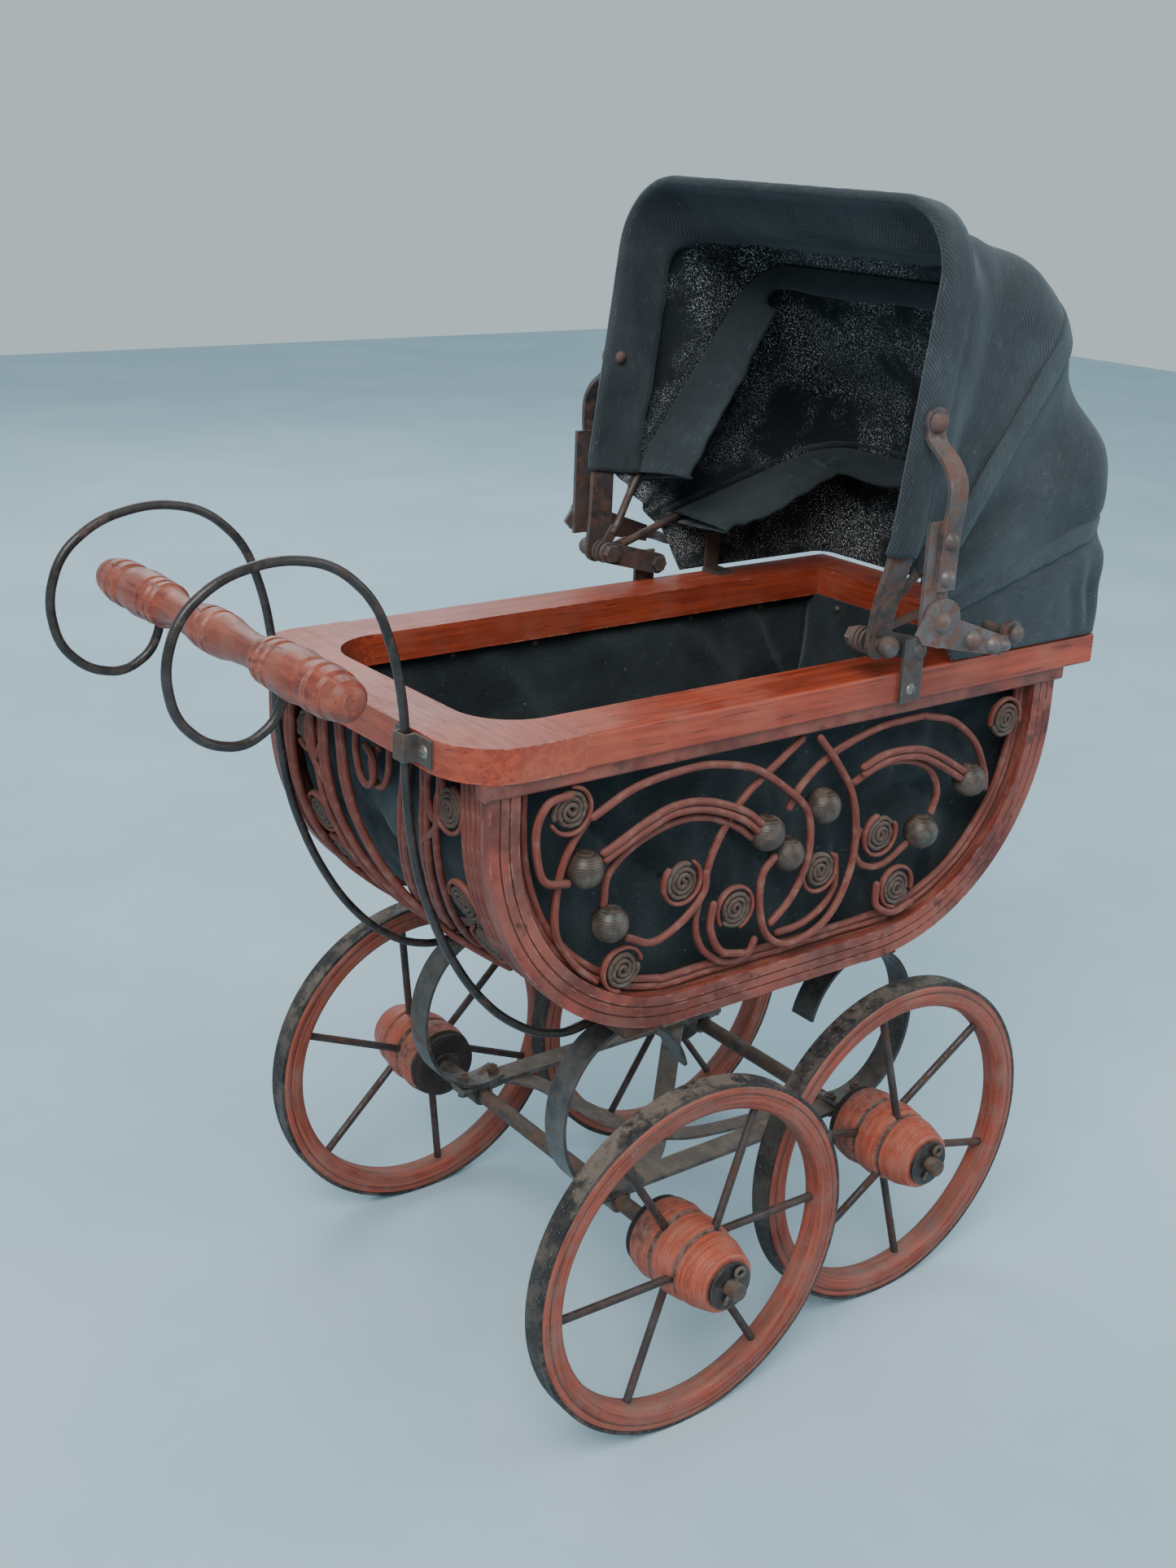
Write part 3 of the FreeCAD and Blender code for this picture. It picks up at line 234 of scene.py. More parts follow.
def stained_wood(name, grain, base, deep, worn, wear, dust, gloss):
    """Stained open-grained wood; grain is the stretch of the pattern by axis."""
    p = Paint(name, Specular_IOR_Level=0.4)
    long_grain = p.stretched(grain)
    streaks = p.noise(1.0, 5.0, 0.62, long_grain, 0.25)
    blotch = p.noise(26.0, 3.0, 0.5)
    p.colour = p.mix(p.fade(streaks, 0.38, 0.66), deep, base)
    p.over(p.fade(blotch, 0.42, 0.70, 0.0, 0.45), worn)
    pores = p.patches(2.6, 2.0, 0.5, 0.60, 0.72, 0.7, long_grain)
    p.over(pores, shaded(deep, 0.35))
    scuff = p.patches(150.0, 4.0, 0.6, 0.50, 0.66)
    worn_edge = p.times(p.edge(0.0016), scuff)
    bare = tuple(min(1, c * 1.6 + 0.12) for c in worn)
    p.over(p.times(worn_edge, wear), bare)
    specks = p.fade(p.cells(210.0), 0.10, 0.04, 0.0, 0.35)
    p.over(specks, (0.36, 0.25, 0.20))
    film = p.times(p.patches(60.0, 5.0, 0.65, 0.42, 0.68), dust)
    film = p.most(film, p.times(p.crevice(0.006), dust * 1.5))
    p.over(film, (0.20, 0.135, 0.11))
    roughness = p.fade(p.plus(film, p.fade(blotch, 0.3, 0.7, 0.0, 0.3)), 0.0, 1.0, gloss, 0.82)
    return p.done(roughness, p.bump(p.minus(streaks, pores), 0.35, 0.0004))


IRON_DUST = (0.24, 0.20, 0.17)


def aged_iron(name, base, rust, rusty, dusty, metallic=0.35, gloss=0.48):
    """Old iron: dark skin, rust blooms, pits and a film of dust."""
    p = Paint(name, Metallic=metallic)
    bloom = p.patches(95.0, 6.0, 0.68, 0.62 - 0.3 * rusty, 0.78 - 0.3 * rusty)
    fine = p.noise(900.0, 4.0, 0.6)
    tone = p.noise(38.0, 3.0, 0.5)
    p.colour = p.mix(p.fade(tone, 0.35, 0.7), shaded(base, 0.65), shaded(base, 1.35))
    p.over(bloom, p.mix(fine, shaded(rust, 0.6), shaded(rust, 1.35)))
    film = p.times(p.patches(140.0, 5.0, 0.7, 0.40, 0.66), dusty)
    film = p.plus(film, p.times(p.upward(), dusty * 0.8))
    p.over(film, IRON_DUST)
    p.over(p.times(p.edge(0.0007), 0.25), tuple(c + 0.22 for c in base))
    roughness = p.fade(p.plus(bloom, film), 0.0, 1.0, gloss, 0.9)
    pits = p.fade(p.cells(700.0), 0.0, 0.35)
    height = p.plus(p.times(bloom, 0.6), p.times(pits, 0.5))
    normal = p.bump(p.plus(height, fine), 0.40, 0.00025)
    return p.done(roughness, normal)


def canvas(name, dark, light, pitch, twill, painted_light_through=0.0, lint=0.3):
    """Woven cloth on flat cloth coordinates.

    pitch is the thread spacing in metres, twill the share of slanting ribs, threads the
    strength of light showing through worn places, and lint the amount of pale fluff.
    """
    p = Paint(name, Sheen_Weight=0.22, Sheen_Roughness=0.45, Specular_IOR_Level=0.22)
    p.shader.inputs["Sheen Tint"].default_value = (0.62, 0.73, 0.79, 1)
    p.from_uv()
    rate = 3.14 / (2 * math.pi * pitch)
    warp = p.ribs(rate, "X", 0.6)
    weft = p.ribs(rate, "Y", 0.6)
    diagonal = p.ribs(rate * 0.62, "DIAGONAL", 1.2)
    weave = p.plus(p.times(warp, 0.5), p.times(weft, 0.5))
    weave = p.plus(p.times(weave, 1 - twill), p.times(diagonal, twill))
    slub = p.noise(1.0, 3.0, 0.6, p.stretched((900.0, 110.0, 1.0)))
    fade = p.noise(13.0, 5.0, 0.6)
    p.colour = p.mix(p.fade(fade, 0.32, 0.70), dark, light)
    p.over(p.fade(weave, 0.25, 0.85, 0.55, 0.0), shaded(dark, 0.4))
    p.over(p.fade(slub, 0.55, 0.75, 0.0, 0.35), shaded(light, 1.7))
    fluff = p.patches(420.0, 2.0, 0.5, 0.70, 0.80, lint)
    p.over(fluff, (0.32, 0.34, 0.34))
    if painted_light_through:
        # Painted light: near-white specks where light shows through worn places in the weave.
        across = p.noise(1.0, 1.0, 0.5, p.stretched((1800.0, 740.0, 1.0)))
        lengthways = p.noise(1.0, 1.0, 0.5, p.stretched((680.0, 2000.0, 1.0)))
        worn = p.most(p.fade(across, 0.625, 0.67), p.fade(lengthways, 0.635, 0.68))
        gaps = p.times(worn, p.patches(17.0, 5.0, 0.62, 0.41, 0.55))
        p.over(p.times(gaps, painted_light_through), (0.95, 1.0, 1.0))
    height = p.plus(weave, p.times(slub, 0.7))
    normal = p.bump(height, 0.55, 0.00035)
    normal = p.bump(p.noise(70.0, 4.0, 0.6), 0.35, 0.002, normal)
    return p.done(p.fade(fade, 0.2, 0.8, 0.82, 0.95), normal)


RED = (0.40, 0.064, 0.028)
RED_DEEP = (0.26, 0.038, 0.018)
RED_WORN = (0.41, 0.105, 0.060)
DULL_RED = (0.27, 0.055, 0.036)
DULL_WORN = (0.30, 0.10, 0.072)


def centre_of(node):
    """Middle of a CAD node's box."""
    low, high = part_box(node)
    return (low + high) / 2


def tread(name, dusty):
    """Black band with grey-brown dust ground into its crown and lower edges."""
    p = Paint(name, Specular_IOR_Level=0.35)
    dirt = p.patches(160.0, 6.0, 0.75, 0.40, 0.60)
    scratches = p.fade(p.noise(1.0, 3.0, 0.6, p.stretched((260.0, 900.0, 260.0))), 0.5, 0.75)
    patch = p.patches(42.0, 6.0, 0.7, 0.44, 0.58)
    p.colour = p.mix(dirt, (0.013, 0.012, 0.013), (0.046, 0.038, 0.035))
    crown = p.plus(p.times(p.upward(), 0.6), 0.4)
    film = p.times(p.times(patch, crown), dusty + 0.25)
    p.over(film, (0.205, 0.155, 0.125))
    p.over(p.times(scratches, 0.22), (0.20, 0.18, 0.17))
    specks = p.fade(p.cells(330.0), 0.16, 0.08, 0.0, 0.55)
    p.over(specks, (0.30, 0.26, 0.23))
    normal = p.bump(p.plus(p.plus(dirt, scratches), patch), 0.6, 0.0005)
    return p.done(p.fade(dirt, 0.0, 1.0, 0.48, 0.88), normal)


RIM_LINE_RADIUS = 0.0913


def wheel_wood(name, centre):
    """Bent wood: grain and a painted line that run round the wheel."""
    p = Paint(name, Specular_IOR_Level=0.35)
    at = p.centred(centre)
    axes = p.axes(at)
    radius = p.math("SQRT", p.plus(p.times(axes["X"], axes["X"]), p.times(axes["Z"], axes["Z"])))
    turn = p.math("ARCTAN2", axes["Z"], axes["X"])
    round_rim = p.node("CombineXYZ", {0: p.times(radius, 700.0), 1: p.times(turn, 2.2),
                                      2: p.times(axes["Y"], 500.0)})[0]
    streaks = p.noise(1.0, 4.0, 0.6, round_rim)
    blotch = p.noise(30.0, 4.0, 0.6, at)
    p.colour = p.mix(p.fade(streaks, 0.30, 0.68), (0.17, 0.034, 0.021), (0.36, 0.074, 0.042))
    p.over(p.fade(blotch, 0.45, 0.70, 0.0, 0.55), (0.34, 0.12, 0.088))
    line = p.size(p.minus(radius, RIM_LINE_RADIUS))
    p.over(p.fade(line, 0.0007, 0.0003, 0.0, 0.75), (0.035, 0.018, 0.014))
    film = p.times(p.patches(85.0, 6.0, 0.7, 0.40, 0.66, at=at), 0.42)
    film = p.plus(film, p.times(p.crevice(0.008), 0.35))
    film = p.plus(film, p.times(p.upward(), 0.30))
    p.over(film, (0.185, 0.135, 0.115))
    specks = p.fade(p.cells(260.0, at), 0.10, 0.05, 0.0, 0.5)
    p.over(specks, (0.45, 0.37, 0.33))
    normal = p.bump(p.minus(streaks, p.fade(line, 0.0008, 0.0003)), 0.4, 0.0004)
    return p.done(p.fade(film, 0.0, 0.7, 0.55, 0.88), normal)


HUB_GROOVES = ((-0.0073, 0.0020), (0.0100, 0.0017), (-0.0262, 0.0012))
GREASE_END = -0.0245


def hub_wood(name, track):
    """Turned hub: fine turning lines, dust caked in its grooves, painted shade where it meets other parts,
    grease on its inner end.
    """
    p = Paint(name, Specular_IOR_Level=0.35)
    along = p.minus(p.size(p.axes()["Y"]), track)
    turning = p.noise(1.0, 3.0, 0.6, p.stretched((45.0, 1100.0, 45.0)))
    blotch = p.noise(75.0, 5.0, 0.65)
    p.colour = p.mix(p.fade(turning, 0.34, 0.66), (0.26, 0.050, 0.028), (0.46, 0.100, 0.052))
    p.over(p.fade(blotch, 0.46, 0.64, 0.0, 0.6), (0.36, 0.135, 0.095))
    inner = p.fade(along, 0.004, -0.020, 0.10, 0.75)
    film = p.times(p.patches(60.0, 6.0, 0.7, 0.38, 0.62), inner)
    for centre, reach in HUB_GROOVES:
        gap = p.plus(p.size(p.minus(along, centre)), p.times(blotch, 0.0016))
        caked = p.fade(gap, reach + 0.0014, reach * 0.7, 0.0, 0.95)
        film = p.most(film, caked)
    # Painted shade: ambient occlusion lays the dark dirt colour where the hub meets other parts.
    film = p.most(film, p.times(p.crevice(0.005), 0.9))
    dirt = p.mix(p.patches(260.0, 4.0, 0.6, 0.35, 0.65), (0.045, 0.038, 0.036), (0.165, 0.130, 0.112))
    p.over(film, dirt)
    specks = p.fade(p.cells(300.0), 0.10, 0.05, 0.0, 0.5)
    p.over(specks, (0.45, 0.38, 0.33))
    ragged = p.minus(along, p.times(blotch, 0.004))
    grease = p.fade(ragged, GREASE_END, GREASE_END - 0.002, 0.0, 0.96)
    p.over(grease, (0.020, 0.016, 0.015))
    normal = p.bump(p.plus(turning, film), 0.45, 0.0005)
    return p.done(p.fade(film, 0.0, 1.0, 0.48, 0.92), normal)


def cane_wood(name, base, worn, gloss=0.5):
    """Stained cane: long pale scratches, nodes and chipped spots."""
    p = Paint(name, Specular_IOR_Level=0.4)
    p.from_uv()
    streaks = p.noise(1.0, 3.0, 0.6, p.stretched((1500.0, 60.0, 1.0)))
    blotch = p.noise(90.0, 4.0, 0.6)
    p.colour = p.mix(p.fade(streaks, 0.32, 0.68), shaded(base, 0.45), base)
    p.over(p.fade(blotch, 0.48, 0.68, 0.0, 0.75), worn)
    chips = p.patches(260.0, 3.0, 0.6, 0.66, 0.72, 0.7)
    p.over(chips, (0.11, 0.065, 0.05))
    film = p.times(p.upward(), 0.30)
    p.over(film, (0.20, 0.13, 0.11))
    normal = p.bump(p.plus(streaks, chips), 0.45, 0.0003)
    return p.done(p.fade(blotch, 0.3, 0.7, gloss, 0.8), normal)


def bead_wood():
    """Turned bead, nearly black with a rubbed grey-green bloom."""
    p = Paint("bead", Specular_IOR_Level=0.4)
    bloom = p.patches(110.0, 5.0, 0.65, 0.42, 0.66)
    p.colour = p.mix(bloom, (0.046, 0.031, 0.024), (0.105, 0.076, 0.058))
    green = p.patches(75.0, 3.0, 0.6, 0.58, 0.70, 0.6)
    p.over(green, (0.075, 0.125, 0.100))
    rings = p.ribs(260.0, "Z", 1.5)
    p.over(p.fade(rings, 0.80, 1.0, 0.0, 0.25), (0.22, 0.18, 0.16))
    return p.done(p.fade(bloom, 0.0, 1.0, 0.38, 0.60), p.bump(rings, 0.15, 0.0003))


# Name, skin, rust, share of rust and of dust, metal, roughness, and the nodes in that finish.
IRONS = (
    ("spoke", (0.050, 0.036, 0.036), (0.095, 0.045, 0.033), 0.55, 0.10, 0.35, 0.42,
     "wheel_spokes_handle_right wheel_spokes_handle_left wheel_spokes_hood_right wheel_spokes_hood_left"),
    ("axle", (0.060, 0.046, 0.042), (0.14, 0.075, 0.05), 0.6, 0.25, 0.35, 0.48, "axles chassis_bolts"),
    ("strap", (0.085, 0.080, 0.080), (0.17, 0.095, 0.062), 0.45, 0.60, 0.35, 0.48,
     "cross_brace_upper cross_brace_lower chassis_rails axle_saddles"),
    ("spring", (0.058, 0.057, 0.058), (0.13, 0.080, 0.055), 0.35, 0.22, 0.35, 0.36, "c_springs"),
    ("wire", (0.026, 0.021, 0.021), (0.085, 0.050, 0.038), 0.35, 0.08, 0.2, 0.30,
     "handle_rod_right handle_rod_left"),
    ("fitting", (0.096, 0.082, 0.079), (0.130, 0.076, 0.061), 0.58, 0.15, 0.35, 0.48,
     "handle_clips hood_brackets bracket_arms hood_pins stay_anchors"),
    ("bow", (0.075, 0.062, 0.060), (0.135, 0.070, 0.052), 0.58, 0.12, 0.35, 0.48,
     "middle_bow rear_bow front_bow"),
    ("stay", (0.105, 0.088, 0.087), (0.155, 0.078, 0.061), 0.60, 0.14, 0.35, 0.40,
     "stay_rivets stay_upper_right stay_upper_left stay_lower_right stay_lower_left"),
    ("screw", (0.34, 0.31, 0.27), (0.16, 0.10, 0.07), 0.30, 0.10, 0.8, 0.34, "slotted_screws"),
    ("pin", (0.105, 0.092, 0.082), (0.11, 0.07, 0.052), 0.5, 0.35, 0.5, 0.42, "cotter_pins"),
    ("hub_cap", (0.022, 0.018, 0.018), (0.05, 0.032, 0.026), 0.35, 0.15, 0.1, 0.38, "hub_washers"))


def paint_nodes():
    """Give every CAD node its own procedural finish."""
    along = stained_wood("rim_along", (14, 260, 260), RED, RED_DEEP, RED_WORN, 0.7, 0.14, 0.36)
    across = stained_wood("rim_across", (260, 14, 260), RED, RED_DEEP, RED_WORN, 0.7, 0.16, 0.36)
    hoop = stained_wood("hoop", (36, 420, 36), DULL_RED, (0.12, 0.024, 0.017), DULL_WORN, 0.5, 0.28, 0.48)
    bearer = stained_wood("bearer", (220, 18, 220), (0.17, 0.065, 0.045), (0.07, 0.03, 0.022),
                          (0.22, 0.12, 0.09), 0.4, 0.55, 0.7)
    board = stained_wood("board", (14, 220, 220), (0.16, 0.10, 0.075), (0.08, 0.045, 0.032),
                         (0.22, 0.15, 0.12), 0.3, 0.7, 0.8)
    grip = stained_wood("grip", (190, 26, 190), (0.30, 0.062, 0.034), (0.16, 0.030, 0.018),
                        (0.33, 0.115, 0.072), 0.5, 0.18, 0.36)
    finishes = {}
    woods = ((along, "rim_rail_right rim_rail_left"), (across, "rim_handle_end rim_hood_end"),
             (hoop, "side_mouldings side_hoop_right side_hoop_left"), (bearer, "tub_bearers"),
             (board, "floor_board"), (grip, "handle_grip"), (bead_wood(), "wooden_beads"))
    for material, names in woods:
        finishes.update(dict.fromkeys(names.split(), material))
    for label, skin, rust, rusty, dusty, metallic, gloss, names in IRONS:
        material = aged_iron(label, skin, rust, rusty, dusty, metallic, gloss)
        finishes.update(dict.fromkeys(names.split(), material))
    for end in ("handle", "hood"):
        centre = centre_of("tyre_%s_right" % end)
        middle = (centre.x, 0.0, centre.z)
        band = tread("tread_" + end, 0.55 if end == "handle" else 0.25)
        hub = hub_wood("hub_" + end, abs(centre_of("wheel_hub_%s_right" % end).y))
        wood = wheel_wood("wheel_" + end, middle)
        for side in ("right", "left"):
            label = "%s_%s" % (end, side)
            finishes["tyre_" + label] = band
            finishes["wheel_rim_" + label] = wood
            finishes["wheel_hub_" + label] = hub
    for name, material in finishes.items():
        for material_slot in NODES[name].material_slots:
            material_slot.link = "OBJECT"
            material_slot.material = material


# ---------------------------------------------------------------- mesh helpers
def add_mesh(name, points, faces, material, uvs=None):
    """Object from points in metres; uvs is one flat coordinate per point."""
    mesh = bpy.data.meshes.new(name)
    mesh.from_pydata(points, [], faces)
    if uvs:
        layer = mesh.uv_layers.new(name="cloth")
        for loop in mesh.loops:
            layer.data[loop.index].uv = uvs[loop.vertex_index]
    mesh.shade_smooth()
    mesh.materials.append(material)
    piece = bpy.data.objects.new(name, mesh)
    bpy.context.scene.collection.objects.link(piece)
    return piece


def grid_faces(rows, columns):
    """Quads of a grid stored row by row."""
    faces = []
    for i in range(rows - 1):
        for j in range(columns - 1):
            a = i * columns + j
            faces.append((a, a + 1, a + columns + 1, a + columns))
    return faces


def thicken(piece, thickness, backing=None):
    """Give a sheet its thickness, applied to the mesh, with another finish on its back."""
    solid = piece.modifiers.new("thickness", "SOLIDIFY")
    solid.thickness = thickness
    solid.offset = 0.0
    if backing:
        piece.data.materials.append(backing)
        solid.material_offset = 1
    ready = bpy.data.meshes.new_from_object(piece.evaluated_get(bpy.context.evaluated_depsgraph_get()))
    piece.modifiers.clear()
    piece.data = ready
    return piece


def wrinkle(x, y, z=0.0):
    """Smooth repeatable noise from -1 to 1."""
    return noise.noise(Vector((x, y, z)))


def crease(x, y):
    """Narrow raised folds, from 0 to 1."""
    return (1 - min(1.0, abs(wrinkle(x, y, 11.0)) * 3.2)) ** 1.6


def hump(t, centre, width):
    """Bell curve of height 1."""
    return math.exp(-((t - centre) / width) ** 2)


def resampled(points, count):
    """Points spaced evenly along a polyline."""
    lengths = [0.0]
    for a, b in zip(points, points[1:]):
        lengths.append(lengths[-1] + (b - a).length)
    out = []
    k = 0
    for i in range(count):
        target = lengths[-1] * i / (count - 1)
        while k < len(points) - 2 and lengths[k + 1] < target:
            k += 1
        span = max(lengths[k + 1] - lengths[k], 1e-12)
        out.append(points[k].lerp(points[k + 1], (target - lengths[k]) / span))
    return out


def chord(line, k):
    """Direction of a polyline at one of its points, not normalised."""
    return line[min(k + 1, len(line) - 1)] - line[max(k - 1, 0)]


def turned(along, up, angle):
    """Along turned towards up."""
    return along * math.cos(angle) + up * math.sin(angle)


# ---------------------------------------------------------------- hood
ROOT = "tub_and_chassis"
PIVOT = Vector((82.0, 0.0, 398.0))
FRONT = dict(foot=115.0, half=121.0, height=205.75, corner=36.0, lean=7.9)
MIDDLE = dict(foot=109.3, half=117.5, height=195.0, corner=26.0, lean=36.5)
REAR = dict(foot=106.2, half=110.0, height=180.0, corner=26.0, lean=75.0)
ACROSS = 181
HOOD_CLOTH, SLEEVE_CLOTH, LINING_CLOTH = 0.9, 0.6, 0.8
FRONT_FOOT, MIDDLE_FOOT, REAR_FOOT, APRON_FOOT = 44.0, 40.0, 44.0, 46.0


def bow_line(bow, start):
    """(y, height) along a bow from one foot over to the other, evenly spaced."""
    splay = min(1.0, max(0.0, (start - 18.0) / 34.0))
    leg = [Vector((-bow["foot"] - (bow["half"] - bow["foot"]) * splay, start))]
    if start < 52.0:
        leg.append(Vector((-bow["half"], 52.0)))
    top, corner = bow["height"], bow["corner"]
    for k in range(13):
        angle = math.radians(180 - 90 * k / 12)
        leg.append(Vector((-bow["half"] + corner + corner * math.cos(angle),
                           top - corner + corner * math.sin(angle))))
    return resampled(leg + [Vector((-p.x, p.y)) for p in reversed(leg)], ACROSS)


def outward(line):
    """Unit normals of a bow line, pointing away from the hood's inside."""
    normals = []
    for k in range(len(line)):
        along = chord(line, k)
        normals.append(Vector((-along.y, along.x)).normalized())
    return normals


def lean_axes(degrees):
    """Directions up a leaning bow and square to it, towards the hood end."""
    angle = math.radians(degrees)
    return Vector((math.sin(angle), 0, math.cos(angle))), Vector((math.cos(angle), 0, -math.sin(angle)))


def on_bow(bow, point, normal, aside, out):
    """Place a point of a bow line in the row frame, moved aside along the fold and outwards."""
    radial, back = lean_axes(bow["lean"])
    y, height = point.x + normal.x * out, point.y + normal.y * out
    return PIVOT + radial * height + Vector((0, y, 0)) + back * aside


def in_row_frame(bow, normal):
    """A bow-line normal as a direction in the row frame."""
    angle = math.radians(bow["lean"])
    return Vector((math.sin(angle) * normal.y, normal.x, math.cos(angle) * normal.y))


def between(bow_a, normals_a, bow_b, normals_b):
    """Directions halfway between the normals of two bows, in the row frame."""
    return [(in_row_frame(bow_a, a) + in_row_frame(bow_b, b)).normalized()
            for a, b in zip(normals_a, normals_b)]


def roofness(normal):
    """0 on the hood's sides, 1 on its roof."""
    return max(0.0, min(1.0, normal.y))


def running(row):
    """Distance of each point of a row from its start."""
    run = [0.0]
    for a, b in zip(row, row[1:]):
        run.append(run[-1] + (b - a).length)
    return run


def row_spacing(rows):
    """Flat distance of each row of a grid, from its mean spacing."""
    spread = [0.0]
    for a, b in zip(rows, rows[1:]):
        gaps = [(q - p).length for p, q in zip(a, b)]
        spread.append(spread[-1] + sum(gaps) / len(gaps))
    return spread


def flat_size(rows):
    """Width, length and area of a cloth grid in metres, the width taking up any fullness."""
    area = 0.0
    for a, b in zip(rows, rows[1:]):
        for p, q, r, s in zip(a, a[1:], b[1:], b):
            area += ((r - p).cross(s - q)).length / 2
    area *= MM * MM
    width = row_spacing(rows)[-1] * MM
    length = max(running(row)[-1] for row in rows) * MM
    if area > width * length:
        width *= area / (width * length) * 1.001
    return width, length, area


def make_cloth(name, rows, material, thickness, backing=None):
    """Cloth from rows of points, laid flat for its weave."""
    run = running(rows[len(rows) // 2])
    points, uvs = [], []
    for row, distance in zip(rows, row_spacing(rows)):
        for j, point in enumerate(row):
            points.append(point * MM)
            uvs.append((distance * MM, run[j] * MM))
    piece = add_mesh(name, points, grid_faces(len(rows), len(rows[0])), material, uvs)
    thicken(piece, thickness * MM, backing)
    width, length, area = flat_size(rows)
    return piece


def edge_on_bow(bow, line, normals, aside, out):
    """Edge of a panel along a bow."""
    return [on_bow(bow, p, n, aside, out) for p, n in zip(line, normals)]


def panel_rows(start, end, normals, steps, shape):
    """Rows between two edges, moved along the mean normal by shape(t, j, j share)."""
    rows = []
    for i in range(steps + 1):
        t = i / steps
        row = []
        for j, normal in enumerate(normals):
            row.append(start[j].lerp(end[j], t) + normal * shape(t, j, j / (ACROSS - 1)))
        rows.append(row)
    return rows


RIM_TOP = 379.6
FRONT_SPAN = 99.0
HEM_END = 8.5
HEM_BACK = ((38, 1.0), (32, 0.7), (25, 0.4), (18, 0.2), (11, 0.1), (5, 0.0), (1, 0.0))
HEM_WRAP = ((-6, -2.3), (-8.6, -1.6), (-9.4, 0.0), (-8.6, 1.7), (-6, 2.35), (-1, 2.35), (4, 2.3))


def front_panel():
    """Cloth from the inner hem round the front bow and back to the middle bow."""
    front, middle = bow_line(FRONT, FRONT_FOOT), bow_line(MIDDLE, MIDDLE_FOOT)
    fn, mn = outward(front), outward(middle)
    normals = between(FRONT, fn, MIDDLE, mn)
    start = edge_on_bow(FRONT, front, fn, HEM_END, 2.0)
    end = edge_on_bow(MIDDLE, middle, mn, 0.0, 3.0)

    def shape(t, j, share):
        roof = roofness((fn[j] + mn[j]) / 2)
        side = 1 - roof
        span = math.sin(math.pi * t)
        sag = -3.6 * side * span ** 0.8
        sag += roof * (-6.5 * hump(t, 0.16, 0.12) + 6.0 * hump(t, 0.66, 0.26)) * min(1.0, 8 * span)
        fold = (2.6 * roof * wrinkle(t * 2.6 + 1.3, share * 11, 2.0)
                + 1.8 * wrinkle(t * 2.0, share * 16 + t * 3, 5.0))
        dent = -4.5 * hump(t, 0.42, 0.22) * (hump(share, 0.30, 0.05) + hump(share, 0.71, 0.05))
        dent -= 3.5 * hump(t, 0.62, 0.15) * (hump(share, 0.37, 0.03) + hump(share, 0.62, 0.035))
        rays = 1.2 * side * math.sin(t * 9.0 + share * 5) * span
        return sag + (fold + dent + rays) * min(1.0, 3 * span)

    rows = []
    for back, loose in HEM_BACK:
        row = []
        for j, (point, normal) in enumerate(zip(front, fn)):
            share = j / (ACROSS - 1)
            roof = roofness(normal)
            fray = 2.0 * loose * wrinkle(share * 40, 7.0)
            aside = (back + fray) * (0.56 + 0.84 * roof)
            under = min(0.0, shape(max(0.0, aside - HEM_END) / FRONT_SPAN, j, share))
            slope = (0.04 + 0.33 * roof) * aside + 1.2 * loose * (1 + wrinkle(share * 26, back * 0.06, 3))
            row.append(on_bow(FRONT, point, normal, aside, -2.3 - 0.045 * aside - slope + under))
        rows.append(row)
    for aside, out in HEM_WRAP:
        rows.append([on_bow(FRONT, p, n, aside, out + 0.25 * wrinkle(j * 0.33, aside * 0.2))
                     for j, (p, n) in enumerate(zip(front, fn))])
    rows += panel_rows(start, end, normals, 34, shape)
    return rows


def middle_panel():
    """Cloth between the middle and rear bows, dented behind the one and puffed above the other."""
    middle, rear = bow_line(MIDDLE, MIDDLE_FOOT), bow_line(REAR, REAR_FOOT)
    mn, rn = outward(middle), outward(rear)
    normals = between(MIDDLE, mn, REAR, rn)
    start = edge_on_bow(MIDDLE, middle, mn, 0.0, 3.0)
    end = edge_on_bow(REAR, rear, rn, 0.0, 3.2)

    def shape(t, j, share):
        roof = roofness((mn[j] + rn[j]) / 2)
        side = 1 - roof
        span = math.sin(math.pi * t)
        main = roof * (-2.0 * hump(t, 0.28, 0.15) + 12.0 * hump(t, 0.76, 0.20) + 3.0 * span)
        main += side * (-3.0 * hump(t, 0.35, 0.2) + 2.2 * hump(t, 0.72, 0.2))
        fold = (3.2 * roof * wrinkle(t * 2.8 + 4.0, share * 10, 9.0)
                + 1.8 * wrinkle(t * 2.4, share * 17 - t * 3, 1.0))
        dent = -4.0 * hump(t, 0.45, 0.16) * (hump(share, 0.27, 0.04) + hump(share, 0.74, 0.04))
        rays = 1.3 * side * math.sin(t * 11.0 + 1.0) * span
        return main * min(1.0, 6 * span) + (fold + dent + rays) * min(1.0, 3 * span)

    return panel_rows(start, end, normals, 36, shape)


def apron_panel():
    """Cloth from the rear bow down to the edge of the tub's rim."""
    rear = bow_line(REAR, APRON_FOOT)
    plan = [Vector((142.0, -110.2)), Vector((246.0, -110.2))]
    for k in range(9):
        angle = math.radians(-90 + 90 * k / 8)
        plan.append(Vector((249.0 + 10.5 * math.cos(angle), -99.7 + 10.5 * math.sin(angle))))
    plan += [Vector((p.x, -p.y)) for p in reversed(plan)]
    plan = resampled(plan, ACROSS)
    start = edge_on_bow(REAR, rear, outward(rear), 0.5, 3.0)
    end = [Vector((p.x, p.y, RIM_TOP)) for p in plan]
    normals = [n.to_3d() for n in outward(plan)]

    def shape(t, j, share):
        corner = hump(share, 0.27, 0.05) + hump(share, 0.73, 0.05)
        span = math.sin(math.pi * t)
        pleat = corner * 3.0 * math.sin(share * 190) * (0.3 + t) * span
        tuck = -10.0 * hump(t, 0.30, 0.22) * hump(share, 0.5, 0.27) * min(1.0, 4 * t)
        puff = 1.0 * span + 2.2 * wrinkle(share * 14, t * 2, 12.0) * span
        return pleat + puff + tuck

    return panel_rows(start, end, normals, 22, shape)


